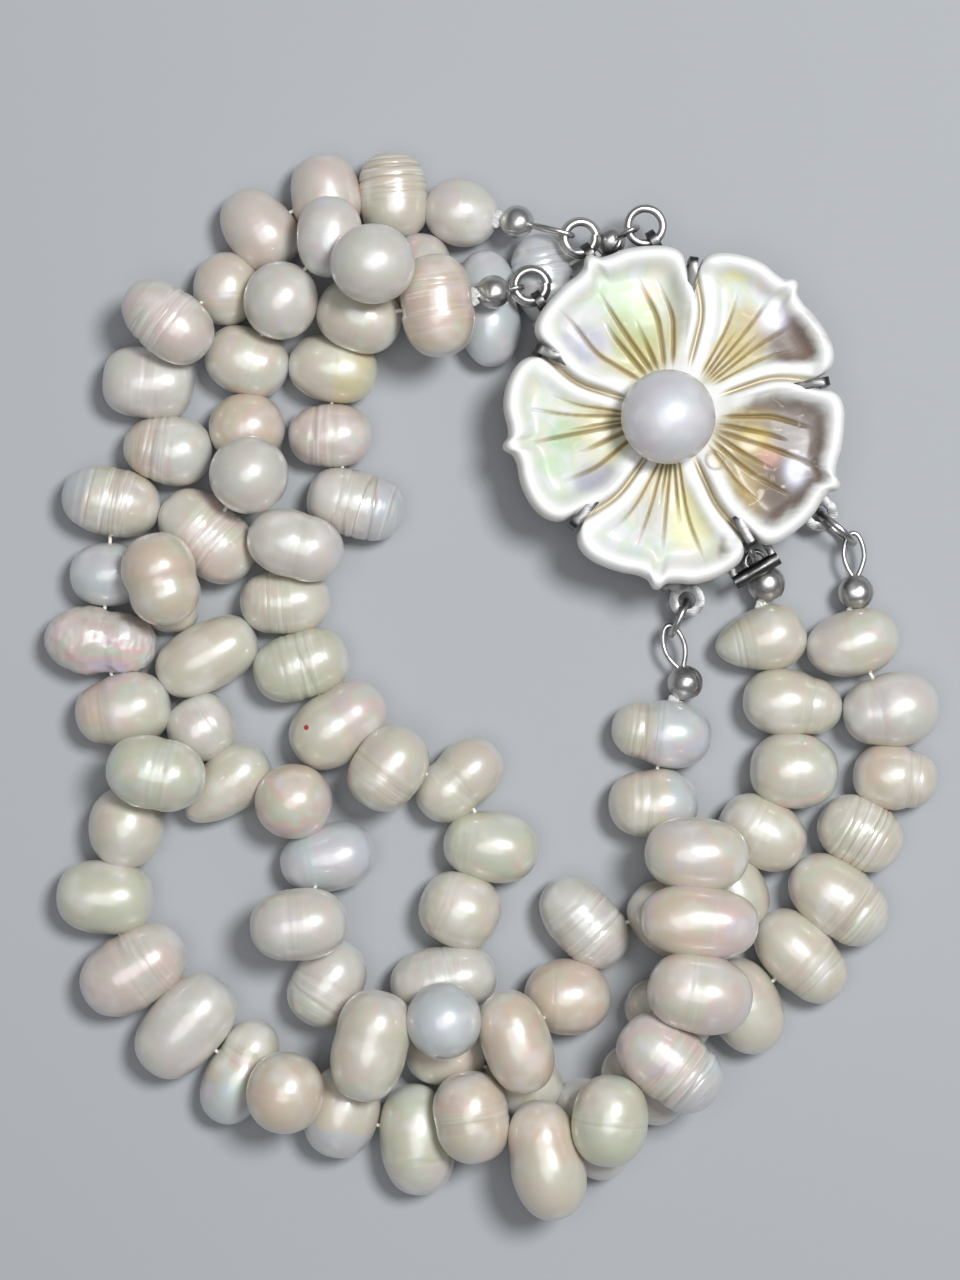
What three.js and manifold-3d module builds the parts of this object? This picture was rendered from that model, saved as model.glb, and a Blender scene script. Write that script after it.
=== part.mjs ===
// Three-strand pearl bracelet on a flower clasp, lying loosely on a flat surface.
// Millimetres, +Z up. The clasp lies on its flat back and the pearls lie on the floor or on each other.
import * as THREE from 'three';
import { mergeVertices } from 'three/addons/utils/BufferGeometryUtils.js';
import Module from 'manifold-3d';

const wasm = await Module();
wasm.setup();

// ---------------------------------------------------------------- pearls
const PEARL_COLUMNS = ['x', 'y', 'length', 'width', 'turn', 'layer'];
// x, y: centre of the pearl; turn: its long axis, degrees from +X; layer: 0 lies on the floor, 1 on others

const STRAND_A = [
  [-2.2, 34.9, 6.2, 5.6, -20, 0],
  [-7.2, 37.2, 7.2, 5.7, 95, 0],
  [-12.9, 37.25, 6.3, 5.9, 100, 0],
  [-18.5, 34.3, 7.3, 5.8, -50, 0],
  [-20.85, 29.05, 6.1, 5.5, 90, 0],
  [-25.95, 26.1, 8.1, 5.8, -38, 0],
  [-27.6, 21.5, 7.5, 5.9, -5, 0],
  [-26.15, 16.15, 7.3, 5.9, -8, 0],
  [-29.9, 11.35, 8.2, 5.8, -12, 0],
  [-30.9, 5.5, 6.4, 5.3, 0, 0],
  [-31.0, 0.4, 9.2, 5.7, -5, 0],
  [-29.3, -5.7, 7.9, 6.2, 10, 0],
  [-26.55, -11.1, 8.1, 6.1, -12, 1],
  [-29.6, -15.7, 6.8, 6.2, 90, 0],
  [-31.05, -22.0, 8.0, 6.1, -5, 0],
  [-28.65, -27.6, 9.3, 6.5, 32, 0],
  [-24.6, -32.1, 9.5, 6.4, 48, 0],
  [-20.35, -35.8, 9.1, 5.5, 64, 0],
  [-16.3, -37.2, 6.7, 6.3, 80, 0],
  [-11.45, -39.25, 7.6, 6.2, 77, 0],
  [-5.3, -41.75, 9.1, 6.2, 97, 0],
  [-0.6, -39.0, 7.5, 6.2, 100, 2],
  [5.6, -42.55, 9.9, 6.2, 102, 1],
  [10.7, -39.15, 7.4, 6.2, 85, 2],
  [15.6, -34.35, 9.3, 6.3, -40, 1],
  [17.5, -29.45, 8.5, 6.5, -12, 1],
  [17.95, -23.6, 9.45, 5.85, -5, 1],
  [17.9, -17.8, 8.4, 6.1, -5, 1],
  [14.5, -13.7, 7.4, 5.9, 0, 0],
  [15.2, -7.8, 8.3, 5.7, -8, 0],
];

const STRAND_B = [
  [5.1, 30.2, 7.5, 5.1, 102, 0],
  [0.9, 27.8, 9.6, 5.3, 95, 0],
  [-4.7, 30.8, 7.6, 5.5, 85, 0],
  [-8.45, 30.4, 6.8, 6.4, 0, 1.2],
  [-12.4, 33.35, 6.6, 5.4, 90, 0.3],
  [-16.55, 28.1, 6.4, 6.1, 80, 0],
  [-19.45, 23.65, 7.0, 5.7, -20, 0],
  [-19.5, 17.6, 6.3, 5.8, 0, 0],
  [-18.9, 13.4, 6.5, 6.4, 0, 1],
  [-23.4, 9.0, 9.0, 6.2, -42, 0],
  [-26.5, 5.0, 7.6, 6.3, -75, 1],
  [-26.5, 2.0, 4.6, 4.2, 0, 0],
  [-22.8, -1.3, 8.8, 5.6, 28, 0],
  [-23.5, -7.3, 5.7, 5.5, 30, 0],
  [-21.2, -12.15, 8.3, 5.4, 40, 0],
  [-15.7, -13.6, 6.4, 6.2, 0, 0],
  [-12.85, -17.9, 7.9, 5.7, 12, 0],
  [-14.85, -23.75, 8.0, 6.0, 5, 0],
  [-12.8, -28.45, 7.5, 6.0, 60, 0],
  [-9.0, -33.6, 9.0, 6.3, 76, 1],
  [-2.55, -31.2, 6.3, 6.2, 0, 1],
  [2.25, -33.3, 8.55, 5.7, 108, 1],
  [7.55, -29.3, 7.2, 6.3, -5, 0],
  [9.25, -23.9, 8.5, 5.8, -47, 0],
  [15.8, -23.6, 8.0, 5.8, -35, 0],
  [21.1, -20.8, 6.7, 5.5, -60, 0],
  [23.8, -15.8, 7.5, 5.8, -30, 0],
  [25.9, -11.15, 7.3, 6.3, -5, 0],
  [26.6, -5.1, 8.2, 5.7, -8, 0],
  [23.5, 0.05, 7.6, 5.7, 12, 0],
];

const STRAND_C = [
  [-3.9, 27.6, 8.3, 6.0, 97, 1],
  [-9.9, 27.0, 7.0, 5.8, -20, 0],
  [-12.4, 22.8, 7.4, 5.6, -10, 0],
  [-12.5, 17.1, 7.0, 5.3, 0, 0],
  [-10.5, 11.2, 8.1, 5.6, -15, 0],
  [-15.7, 8.4, 8.0, 5.7, -17, 0],
  [-16.5, 3.0, 7.5, 5.5, 3, 0],
  [-15.0, -2.3, 8.0, 5.7, 17, 0],
  [-11.8, -7.0, 8.6, 6.2, 35, 0],
  [-7.35, -10.65, 7.3, 6.0, 55, 0],
  [-1.8, -12.0, 8.1, 5.5, 42, 0],
  [0.5, -17.3, 7.9, 5.9, -8, 0],
  [-1.5, -22.5, 6.8, 6.3, -20, 0],
  [-3.0, -28.2, 8.8, 5.8, 10, 0],
  [-2.8, -34.7, 6.7, 5.6, 0, 0],
  [3.7, -37.1, 6.6, 5.5, -30, 0],
  [9.6, -40.8, 8.6, 5.6, -68, 0],
  [13.8, -37.0, 7.6, 5.5, -42, 0],
  [16.2, -31.2, 7.5, 5.3, -25, 0],
  [22.3, -30.2, 8.2, 6.1, -62, 0],
  [26.3, -26.85, 8.9, 5.8, -45, 0],
  [30.0, -21.7, 9.1, 6.1, -38, 0],
  [32.0, -15.9, 7.3, 5.8, -30, 0],
  [34.5, -11.5, 7.0, 5.6, -8, 0],
  [34.3, -6.25, 8.0, 6.3, 8, 0],
  [30.8, -1.05, 7.8, 5.6, 12, 0],
];

const STRANDS = [
  { name: 'strand_a', rows: STRAND_A, run: 6 },
  { name: 'strand_b', rows: STRAND_B, run: 6 },
  { name: 'strand_c', rows: STRAND_C, run: 5 },
]; // run: pearls joined along their thread in one solid; a short rest joins the last one

const PEARL_SKIN = 0.15; // taken off each length and width, so that neighbours just meet
const PEARL_ROUNDNESS = 2.3; // 2 is an ellipsoid, more is a barrel
const THREAD_RADIUS = 0.25;
const THREAD_SIDES = 6;

// The pile settles by itself: pearls sink slowly, stay near their place and push each other apart.
const LAYER_RISE = 4.5;
const ODD_RISE = 0.6;
const SETTLE_ROUNDS = 200;
const QUIET_ROUNDS = 40; // the last rounds only push apart
const HOME_PULL = 0.3;
const SINK_STEP = 0.05;
const SOLID_GAP = 0.2; // between pearls of two solids
const NEST = 0.3; // how far neighbours on one solid press into each other
const FAR = 12;
const CORE_STEPS = 4;

function readPearls() {
  const pearls = [];
  for (const strand of STRANDS) {
    const solids = Math.floor(strand.rows.length / strand.run);
    strand.rows.forEach((row, index) => {
      const pearl = Object.fromEntries(PEARL_COLUMNS.map((column, i) => [column, row[i]]));
      pearl.length -= PEARL_SKIN;
      pearl.width -= PEARL_SKIN;
      pearl.angle = THREE.MathUtils.degToRad(pearl.turn);
      pearl.core = (pearl.length - pearl.width) / 2;
      pearl.index = index;
      pearl.solid = `${strand.name}_${Math.min(Math.floor(index / strand.run), solids - 1) + 1}`;
      pearl.strand = strand.name;
      pearls.push(pearl);
    });
  }
  return pearls;
}

// Offset and distance between the core lines of two pearls, each seen as a rod with round ends.
function between(p, q) {
  const ux = Math.cos(p.angle);
  const uy = Math.sin(p.angle);
  const vx = Math.cos(q.angle);
  const vy = Math.sin(q.angle);
  const wx = q.x - p.x;
  const wy = q.y - p.y;
  let s = 0;
  let t = 0;
  for (let step = 0; step < CORE_STEPS; step += 1) {
    s = Math.max(-p.core, Math.min(p.core, (wx + t * vx) * ux + (wy + t * vy) * uy));
    t = Math.max(-q.core, Math.min(q.core, -((wx - s * ux) * vx + (wy - s * uy) * vy)));
  }
  const dx = wx + t * vx - s * ux;
  const dy = wy + t * vy - s * uy;
  const dz = q.z - p.z;
  return { dx, dy, dz, distance: Math.hypot(dx, dy, dz) };
}

function settle(pearls) {
  const pairs = [];
  for (const p of pearls) {
    p.z = p.width / 2 + LAYER_RISE * p.layer + ODD_RISE * (p.index % 2);
    p.homeX = p.x;
    p.homeY = p.y;
  }
  pearls.forEach((p, i) => {
    for (const q of pearls.slice(i + 1)) {
      if (Math.hypot(p.x - q.x, p.y - q.y) < FAR) {
        const joined = p.solid === q.solid && Math.abs(p.index - q.index) === 1;
        pairs.push({ p, q, reach: (p.width + q.width) / 2 + (joined ? -NEST : SOLID_GAP) });
      }
    }
  });
  for (let round = 0; round < SETTLE_ROUNDS; round += 1) {
    if (round < SETTLE_ROUNDS - QUIET_ROUNDS) {
      for (const p of pearls) {
        p.x += HOME_PULL * (p.homeX - p.x);
        p.y += HOME_PULL * (p.homeY - p.y);
        p.z -= SINK_STEP;
      }
    }
    for (const { p, q, reach } of pairs) {
      const { dx, dy, dz, distance } = between(p, q);
      if (distance < reach) {
        const push = (reach - distance) / 2 / distance;
        p.x -= dx * push;
        p.y -= dy * push;
        p.z -= dz * push;
        q.x += dx * push;
        q.y += dy * push;
        q.z += dz * push;
      }
    }
    for (const p of pearls) p.z = Math.max(p.z, p.width / 2);
  }
  return pearls;
}

// ---------------------------------------------------------------- clasp
const FLOWER = new THREE.Vector2(16.1, 18.7); // centre of the clasp
const CLASP_TURN = 120; // degrees from +X to the side where the plain ends of the strands hang
const BOX = { back: -10.6, front: 10.8, side: 7, height: 5.3 };
const SLOT = { end: 3, side: 5.2, bottom: 1.6, top: 3.6 };
const CARRIER = { bottom: 5.2, top: 6.1, radius: 11.6, rimRadius: 13.9, rimStart: 6, rimEnd: 16, rimSide: 6.6 };
const BLADE = { start: -11.85, end: 2.6, side: 4.8, bottom: 2.2, top: 3.0 };
const BAR = { inner: -10.9, outer: -12.35, side: 8 };
const GRIP = {
  along: -14.6, left: -1.6, right: 2.6, height: 4.7, radius: 0.6, sides: 14,
  foot: -11.65, arm: 0.6, armBottom: 4.4, armTop: 5,
};
const EYE = { outer: 0.95, hole: 0.58, thick: 0.7, sides: 16, root: 1 };
const LUG = { outer: 1.5, hole: 0.75, sides: 20 };
const HOLE_SIDES = 12;
const OVERCUT = 1; // how far a cut runs past the wall it opens
const PRONG = {
  inner: 11.4, foot: 12.8, wall: 12.15, tip: 9.8, lip: 8.75, top: 9.5, tipTop: 9.2, width: 0.7, curve: 4,
};
const CIRCLE = 32;

const PETALS = 5;
const CUSP_ANGLE = 47.5; // degrees from +X to the point of the first petal
const SHELL = {
  bottom: 6.9, seat: 7.5, dish: 8.2, rim: 9.4, edge: 0.9, groove: 0.9,
  radius: 14.05, notch: 12.0, notchSide: 0.92, point: 0.5, pointSide: 0.07,
  inset: 0.4, rings: 6, around: 120,
};
// The shares of a petal's reach, or of its half width, between which each feature of the shell grows.
const SHELL_STEPS = { seat: [0.15, 0.3], dish: [0.3, 0.85], edge: [0.88, 1], groove: [0.8, 1], grooveOut: [0.25, 0.5] };
const CENTRE_PEARL = { x: 15.3, y: 18.15, radius: 3.85, height: 6.2, seatGap: 0.3 };

// Jump rings: centre, radius, and the directions in which the clasp's eye and the bead tip's hook pull.
const RING_COLUMNS = ['name', 'x', 'y', 'z', 'radius', 'eyeTurn', 'hookTurn', 'flat'];
const RINGS = [
  ['jump_ring_a1', 8.3, 33.3, 5.6, 1.5, -60, 164, true],
  ['jump_ring_b1', 13.7, 34.3, 5.7, 1.45, -60, 199, true],
  ['jump_ring_c1', 4.2, 29.3, 5.8, 1.5, -60, 190, true],
  ['jump_ring_a2', 16.65, 1.85, 2.6, 1.59, 66, 246, false],
  ['jump_ring_b2', 22.55, 7.5, 2.6, 1.1, 120, 300, false],
  ['jump_ring_c2', 29.85, 9.35, 2.6, 1.9, 139, 319, false],
];
const TIP_COLUMNS = ['name', 'x', 'y', 'z', 'radius'];
const TIPS = [
  ['bead_tip_a1', 3.1, 34.8, 4.3, 1.4],
  ['bead_tip_b1', 10.9, 33.2, 4.2, 1.25],
  ['bead_tip_c1', 1.1, 28.7, 7.0, 1.4],
  ['bead_tip_a2', 17.2, -3.6, 2.4, 1.5],
  ['bead_tip_b2', 24.0, 4.7, 2.5, 1.6],
  ['bead_tip_c2', 31.5, 4.0, 2.5, 1.5],
];
const RING = { wire: 0.28, sides: 6, steps: 18 };
const HOOK = { near: 0.85, wire: 0.25, overlap: 0.3, sides: 6, steps: 14 };
const BALL_DETAIL = 2;
const PEARL_DETAIL = 1;

const PEARL_CREAM = new THREE.MeshStandardMaterial({ color: 0xe9e2d6, roughness: 0.22, metalness: 0 });
const PEARL_GREY = new THREE.MeshStandardMaterial({ color: 0xcfcbd0, roughness: 0.35, metalness: 0 });
const SHELL_WHITE = new THREE.MeshStandardMaterial({ color: 0xeef0ea, roughness: 0.25, metalness: 0 });
const STEEL = new THREE.MeshStandardMaterial({ color: 0x8d8b88, roughness: 0.3, metalness: 1 });

// ---------------------------------------------------------------- solids
function toSolid(geometry) {
  const bare = geometry.index ? geometry.clone() : geometry;
  bare.deleteAttribute('normal');
  bare.deleteAttribute('uv');
  const merged = mergeVertices(bare, 1e-4);
  return new wasm.Manifold(new wasm.Mesh({
    numProp: 3,
    vertProperties: Float32Array.from(merged.attributes.position.array),
    triVerts: Uint32Array.from(merged.index.array),
  }));
}

function toMesh(solid, name, material) {
  const { numProp, vertProperties, triVerts } = solid.getMesh();
  const geometry = new THREE.BufferGeometry();
  geometry.setAttribute('position', new THREE.BufferAttribute(Float32Array.from(vertProperties), numProp));
  geometry.setIndex(new THREE.BufferAttribute(Uint32Array.from(triVerts), 1));
  geometry.computeVertexNormals();
  const mesh = new THREE.Mesh(geometry, material);
  mesh.name = name;
  return mesh;
}

function joined(solids) {
  return solids.reduce((sum, solid) => sum.add(solid));
}

// A round-ended bead: a barrel between an ellipsoid and a rod, its long axis along X.
function beadGeometry(length, width) {
  const geometry = new THREE.IcosahedronGeometry(1, PEARL_DETAIL);
  const position = geometry.attributes.position;
  for (let i = 0; i < position.count; i += 1) {
    const point = new THREE.Vector3().fromBufferAttribute(position, i);
    const along = Math.abs(point.x) / (length / 2);
    const across = Math.hypot(point.y, point.z) / (width / 2);
    const scale = (along ** PEARL_ROUNDNESS + across ** PEARL_ROUNDNESS) ** (-1 / PEARL_ROUNDNESS);
    point.multiplyScalar(scale);
    position.setXYZ(i, point.x, point.y, point.z);
  }
  return geometry;
}

function rod(from, to, radius, sides) {
  const along = new THREE.Vector3().subVectors(to, from);
  const geometry = new THREE.CylinderGeometry(radius, radius, along.length(), sides);
  const turn = new THREE.Quaternion().setFromUnitVectors(new THREE.Vector3(0, 1, 0), along.normalize());
  geometry.applyQuaternion(turn);
  geometry.translate((from.x + to.x) / 2, (from.y + to.y) / 2, (from.z + to.z) / 2);
  return geometry;
}

function centreOf(pearl) {
  return new THREE.Vector3(pearl.x, pearl.y, pearl.z);
}

// From the last pearl of a strand to just short of its bead tip.
function threadEnd(pearl, tip) {
  const from = centreOf(pearl);
  const to = new THREE.Vector3(tip.x, tip.y, tip.z);
  const along = new THREE.Vector3().subVectors(to, from);
  const length = along.length() - tip.radius - SOLID_GAP;
  return rod(from, from.clone().addScaledVector(along.normalize(), length), THREAD_RADIUS, THREAD_SIDES);
}

function strandMeshes(pearls, tips) {
  const names = [...new Set(pearls.map((pearl) => pearl.solid))];
  return names.map((name) => {
    const run = pearls.filter((pearl) => pearl.solid === name);
    const solids = run.map((pearl) => {
      const geometry = beadGeometry(pearl.length, pearl.width);
      geometry.rotateZ(pearl.angle);
      geometry.translate(pearl.x, pearl.y, pearl.z);
      return toSolid(geometry);
    });
    for (let i = 1; i < run.length; i += 1) {
      solids.push(toSolid(rod(centreOf(run[i - 1]), centreOf(run[i]), THREAD_RADIUS, THREAD_SIDES)));
    }
    const letter = run[0].strand.slice(-1);
    const whole = pearls.filter((pearl) => pearl.strand === run[0].strand);
    if (run.includes(whole[0])) {
      solids.push(toSolid(threadEnd(whole[0], tips[`bead_tip_${letter}1`])));
    }
    if (run.includes(whole[whole.length - 1])) {
      solids.push(toSolid(threadEnd(whole[whole.length - 1], tips[`bead_tip_${letter}2`])));
    }
    return toMesh(joined(solids), name, PEARL_CREAM);
  });
}

// ---------------------------------------------------------------- clasp pieces
const claspAngle = THREE.MathUtils.degToRad(CLASP_TURN);

// In the clasp's own frame +X runs along the clasp, towards CLASP_TURN, and Y runs across it.
function claspBox(x0, x1, y0, y1, z0, z1) {
  const geometry = new THREE.BoxGeometry(x1 - x0, y1 - y0, z1 - z0);
  geometry.translate((x0 + x1) / 2, (y0 + y1) / 2, (z0 + z1) / 2);
  return toSolid(geometry);
}

function disc(x, y, radius, z0, z1, sides) {
  const geometry = new THREE.CylinderGeometry(radius, radius, z1 - z0, sides);
  geometry.rotateX(Math.PI / 2);
  geometry.translate(x, y, (z0 + z1) / 2);
  return toSolid(geometry);
}

function toClasp(x, y) {
  return new THREE.Vector2(x, y).sub(FLOWER).rotateAround(new THREE.Vector2(), -claspAngle);
}

// Where a jump ring passes through the clasp, in the clasp's frame.
function eyePoint(ring) {
  const angle = THREE.MathUtils.degToRad(ring.eyeTurn);
  return toClasp(ring.x + ring.radius * Math.cos(angle), ring.y + ring.radius * Math.sin(angle));
}

// An upright eye at the rim for a jump ring that lies flat.
function uprightEye(ring) {
  const { x, y } = eyePoint(ring);
  const plate = new THREE.CylinderGeometry(EYE.outer, EYE.outer, EYE.thick, EYE.sides);
  plate.translate(x, y, ring.z);
  const hole = new THREE.CylinderGeometry(EYE.hole, EYE.hole, 2 * EYE.thick, HOLE_SIDES);
  hole.translate(x, y, ring.z);
  const root = Math.sqrt(CARRIER.rimRadius ** 2 - y ** 2) - EYE.root;
  const arm = claspBox(root, x, y - EYE.thick / 2, y + EYE.thick / 2, CARRIER.bottom, CARRIER.top);
  return { solid: toSolid(plate).add(arm), hole: toSolid(hole) };
}

function prongProfile() {
  const shape = new THREE.Shape();
  shape.moveTo(PRONG.inner, CARRIER.bottom);
  shape.lineTo(PRONG.foot, CARRIER.bottom);
  shape.lineTo(PRONG.foot, PRONG.lip);
  shape.quadraticCurveTo(PRONG.foot, PRONG.top, PRONG.wall, PRONG.top);
  shape.lineTo(PRONG.tip, PRONG.tipTop);
  shape.lineTo(PRONG.tip, PRONG.lip);
  shape.lineTo(PRONG.wall, PRONG.lip);
  shape.lineTo(PRONG.wall, CARRIER.top);
  shape.lineTo(PRONG.inner, CARRIER.top);
  shape.closePath();
  return shape;
}

function prong(angle) {
  const geometry = new THREE.ExtrudeGeometry(prongProfile(), {
    depth: PRONG.width, bevelEnabled: false, curveSegments: PRONG.curve,
  });
  geometry.translate(0, 0, -PRONG.width / 2);
  geometry.rotateX(Math.PI / 2);
  geometry.rotateZ(angle);
  return toSolid(geometry);
}

// The box, the plate that carries the flower, its claws and the three eyes are soldered into one piece.
function settingMesh(rings) {
  let solid = claspBox(BOX.back, BOX.front, -BOX.side, BOX.side, 0, BOX.height);
  const slot = claspBox(BOX.back - OVERCUT, SLOT.end, -SLOT.side, SLOT.side, SLOT.bottom, SLOT.top);
  solid = solid.subtract(slot);
  solid = solid.add(disc(0, 0, CARRIER.radius, CARRIER.bottom, CARRIER.top, CIRCLE));
  const rim = disc(0, 0, CARRIER.rimRadius, CARRIER.bottom, CARRIER.top, 2 * CIRCLE);
  const { rimStart, rimEnd, rimSide, bottom, top } = CARRIER;
  const rimArea = claspBox(rimStart, rimEnd, -rimSide, rimSide, bottom - OVERCUT, top + OVERCUT);
  solid = solid.add(rim.intersect(rimArea));
  for (let i = 0; i < PETALS; i += 1) {
    const notch = CUSP_ANGLE + (360 / PETALS) * (i + 0.5) - CLASP_TURN;
    solid = solid.add(prong(THREE.MathUtils.degToRad(notch)));
  }
  const eyes = rings.filter((ring) => ring.flat).map(uprightEye);
  for (const eye of eyes) solid = solid.add(eye.solid);
  for (const eye of eyes) solid = solid.subtract(eye.hole);
  return toMesh(solid, 'clasp_setting', STEEL);
}

// The tongue that slides into the box, with its cross bar, three flat lugs and the small round grip.
function tongueMesh(rings) {
  let solid = claspBox(BLADE.start, BLADE.end, -BLADE.side, BLADE.side, BLADE.bottom, BLADE.top);
  solid = solid.add(claspBox(BAR.outer, BAR.inner, -BAR.side, BAR.side, BLADE.bottom, BLADE.top));
  const holes = [];
  for (const ring of rings.filter((one) => !one.flat)) {
    const { x, y } = eyePoint(ring);
    if (x < BAR.outer) {
      const stem = LUG.outer - LUG.hole;
      solid = solid.add(claspBox(x, BAR.inner, y - stem, y + stem, BLADE.bottom, BLADE.top));
      solid = solid.add(disc(x, y, LUG.outer, BLADE.bottom, BLADE.top, LUG.sides));
    }
    const hole = x < BAR.outer ? LUG.hole : EYE.hole;
    holes.push(disc(x, y, hole, BLADE.bottom - OVERCUT, BLADE.top + OVERCUT, HOLE_SIDES));
  }
  for (const left of [GRIP.left, GRIP.right - GRIP.arm]) {
    const right = left + GRIP.arm;
    solid = solid.add(claspBox(BAR.outer, GRIP.foot, left, right, BLADE.bottom, GRIP.armTop));
    solid = solid.add(claspBox(GRIP.along, GRIP.foot, left, right, GRIP.armBottom, GRIP.armTop));
  }
  const tube = new THREE.CylinderGeometry(GRIP.radius, GRIP.radius, GRIP.right - GRIP.left, GRIP.sides);
  tube.translate(GRIP.along, (GRIP.left + GRIP.right) / 2, GRIP.height);
  solid = solid.add(toSolid(tube));
  for (const hole of holes) solid = solid.subtract(hole);
  return toMesh(solid, 'clasp_tongue', STEEL);
}

// How far an angle lies from its petal's middle line: 0 there, 1 in the notch between two petals.
function petalSide(angle) {
  const step = (2 * Math.PI) / PETALS;
  const cusp = THREE.MathUtils.degToRad(CUSP_ANGLE - CLASP_TURN);
  const turn = THREE.MathUtils.euclideanModulo(angle - cusp + step / 2, step) - step / 2;
  return Math.abs(turn) / (step / 2);
}

// Outline of the flower: broad petals, each with a small point in the middle and a notch at each side.
function petalOutline(angle) {
  const side = petalSide(angle);
  const flank = Math.sqrt(1 - Math.min(side / SHELL.notchSide, 1) ** 6);
  const point = SHELL.point * Math.exp(-((side / SHELL.pointSide) ** 2));
  return SHELL.notch + (SHELL.radius - SHELL.notch) * flank + point;
}

// Top of the shell: a seat for the pearl, dished petals with a raised rim, and grooves between them.
function shellTop(radius, reach, angle) {
  const { smoothstep, lerp } = THREE.MathUtils;
  const out = radius / reach;
  const groove = SHELL.groove * smoothstep(petalSide(angle), ...SHELL_STEPS.groove)
    * smoothstep(out, ...SHELL_STEPS.grooveOut);
  const dish = lerp(SHELL.dish, SHELL.rim, smoothstep(out, ...SHELL_STEPS.dish));
  const edge = SHELL.edge * smoothstep(out, ...SHELL_STEPS.edge);
  return lerp(SHELL.seat, dish - groove - edge, smoothstep(out, ...SHELL_STEPS.seat));
}

function flowerMesh() {
  const points = [];
  const faces = [];
  const ringStart = (ring) => 1 + ring * SHELL.around;
  points.push(0, 0, SHELL.seat);
  for (let ring = 1; ring <= SHELL.rings; ring += 1) {
    for (let i = 0; i < SHELL.around; i += 1) {
      const angle = (2 * Math.PI * i) / SHELL.around;
      const reach = petalOutline(angle);
      const radius = (reach * ring) / SHELL.rings;
      points.push(radius * Math.cos(angle), radius * Math.sin(angle), shellTop(radius, reach, angle));
    }
  }
  for (let i = 0; i < SHELL.around; i += 1) {
    const angle = (2 * Math.PI * i) / SHELL.around;
    const radius = petalOutline(angle) - SHELL.inset;
    points.push(radius * Math.cos(angle), radius * Math.sin(angle), SHELL.bottom);
  }
  points.push(0, 0, SHELL.bottom);
  const last = points.length / 3 - 1;
  for (let i = 0; i < SHELL.around; i += 1) {
    const next = (i + 1) % SHELL.around;
    faces.push(0, ringStart(0) + i, ringStart(0) + next);
    for (let ring = 0; ring < SHELL.rings; ring += 1) {
      const a = ringStart(ring) + i;
      const b = ringStart(ring) + next;
      const c = ringStart(ring + 1) + i;
      const d = ringStart(ring + 1) + next;
      faces.push(a, c, d, a, d, b);
    }
    faces.push(last, ringStart(SHELL.rings) + next, ringStart(SHELL.rings) + i);
  }
  const geometry = new THREE.BufferGeometry();
  geometry.setAttribute('position', new THREE.Float32BufferAttribute(points, 3));
  geometry.setIndex(faces);
  const mesh = new THREE.Mesh(geometry, SHELL_WHITE);
  mesh.name = 'clasp_flower';
  return mesh;
}

function centrePearlMesh() {
  const geometry = new THREE.SphereGeometry(CENTRE_PEARL.radius, 20, 14);
  geometry.rotateX(Math.PI / 2);
  geometry.scale(1, 1, CENTRE_PEARL.height / (2 * CENTRE_PEARL.radius));
  const mesh = new THREE.Mesh(geometry, PEARL_GREY);
  mesh.name = 'centre_pearl';
  const height = SHELL.seat + CENTRE_PEARL.seatGap + CENTRE_PEARL.height / 2;
  mesh.position.set(CENTRE_PEARL.x, CENTRE_PEARL.y, height);
  return mesh;
}

// ---------------------------------------------------------------- rings and bead tips
function jumpRingMesh(ring) {
  const geometry = new THREE.TorusGeometry(ring.radius, RING.wire, RING.sides, RING.steps);
  if (!ring.flat) geometry.rotateX(Math.PI / 2);
  const mesh = new THREE.Mesh(geometry, STEEL);
  mesh.name = ring.name;
  mesh.position.set(ring.x, ring.y, ring.z);
  mesh.rotation.z = THREE.MathUtils.degToRad(ring.eyeTurn);
  return mesh;
}

// A hollow ball that hides the knot, with a long hook loop around the jump ring.
function beadTipMesh(tip, ring) {
  const angle = THREE.MathUtils.degToRad(ring.hookTurn);
  const ball = new THREE.Vector3(tip.x, tip.y, tip.z);
  const hook = new THREE.Vector3(
    ring.x + ring.radius * Math.cos(angle),
    ring.y + ring.radius * Math.sin(angle),
    ring.z,
  );
  const along = new THREE.Vector3().subVectors(ball, hook);
  const far = along.length() - tip.radius + HOOK.overlap;
  const half = (HOOK.near + far) / 2;
  along.normalize();
  const up = new THREE.Vector3(0, 0, 1);
  const sideways = new THREE.Vector3().crossVectors(up, along).normalize();
  const upright = new THREE.Vector3().crossVectors(along, sideways);
  const loop = new THREE.TorusGeometry(HOOK.near, HOOK.wire, HOOK.sides, HOOK.steps);
  loop.scale(half / HOOK.near, 1, 1);
  const axes = new THREE.Matrix4();
  if (ring.flat) axes.makeBasis(along, upright, sideways.clone().negate());
  else axes.makeBasis(along, sideways, upright);
  loop.applyMatrix4(axes);
  const middle = hook.clone().addScaledVector(along, half - HOOK.near);
  loop.translate(middle.x, middle.y, middle.z);
  const bead = new THREE.IcosahedronGeometry(tip.radius, BALL_DETAIL);
  bead.translate(ball.x, ball.y, ball.z);
  return toMesh(toSolid(loop).add(toSolid(bead)), tip.name, STEEL);
}

// ---------------------------------------------------------------- assembly
function readTable(columns, rows) {
  return rows.map((row) => Object.fromEntries(columns.map((column, i) => [column, row[i]])));
}

const rings = readTable(RING_COLUMNS, RINGS);
const tips = readTable(TIP_COLUMNS, TIPS);
const tipByName = Object.fromEntries(tips.map((tip) => [tip.name, tip]));
const pearls = settle(readPearls());

const clasp = new THREE.Group();
clasp.position.set(FLOWER.x, FLOWER.y, 0);
clasp.rotation.z = claspAngle;
clasp.add(settingMesh(rings), tongueMesh(rings), flowerMesh());

const bracelet = new THREE.Group();
bracelet.add(clasp, centrePearlMesh());
bracelet.add(...rings.map(jumpRingMesh));
bracelet.add(...tips.map((tip, i) => beadTipMesh(tip, rings[i])));
bracelet.add(...strandMeshes(pearls, tipByName));

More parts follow.
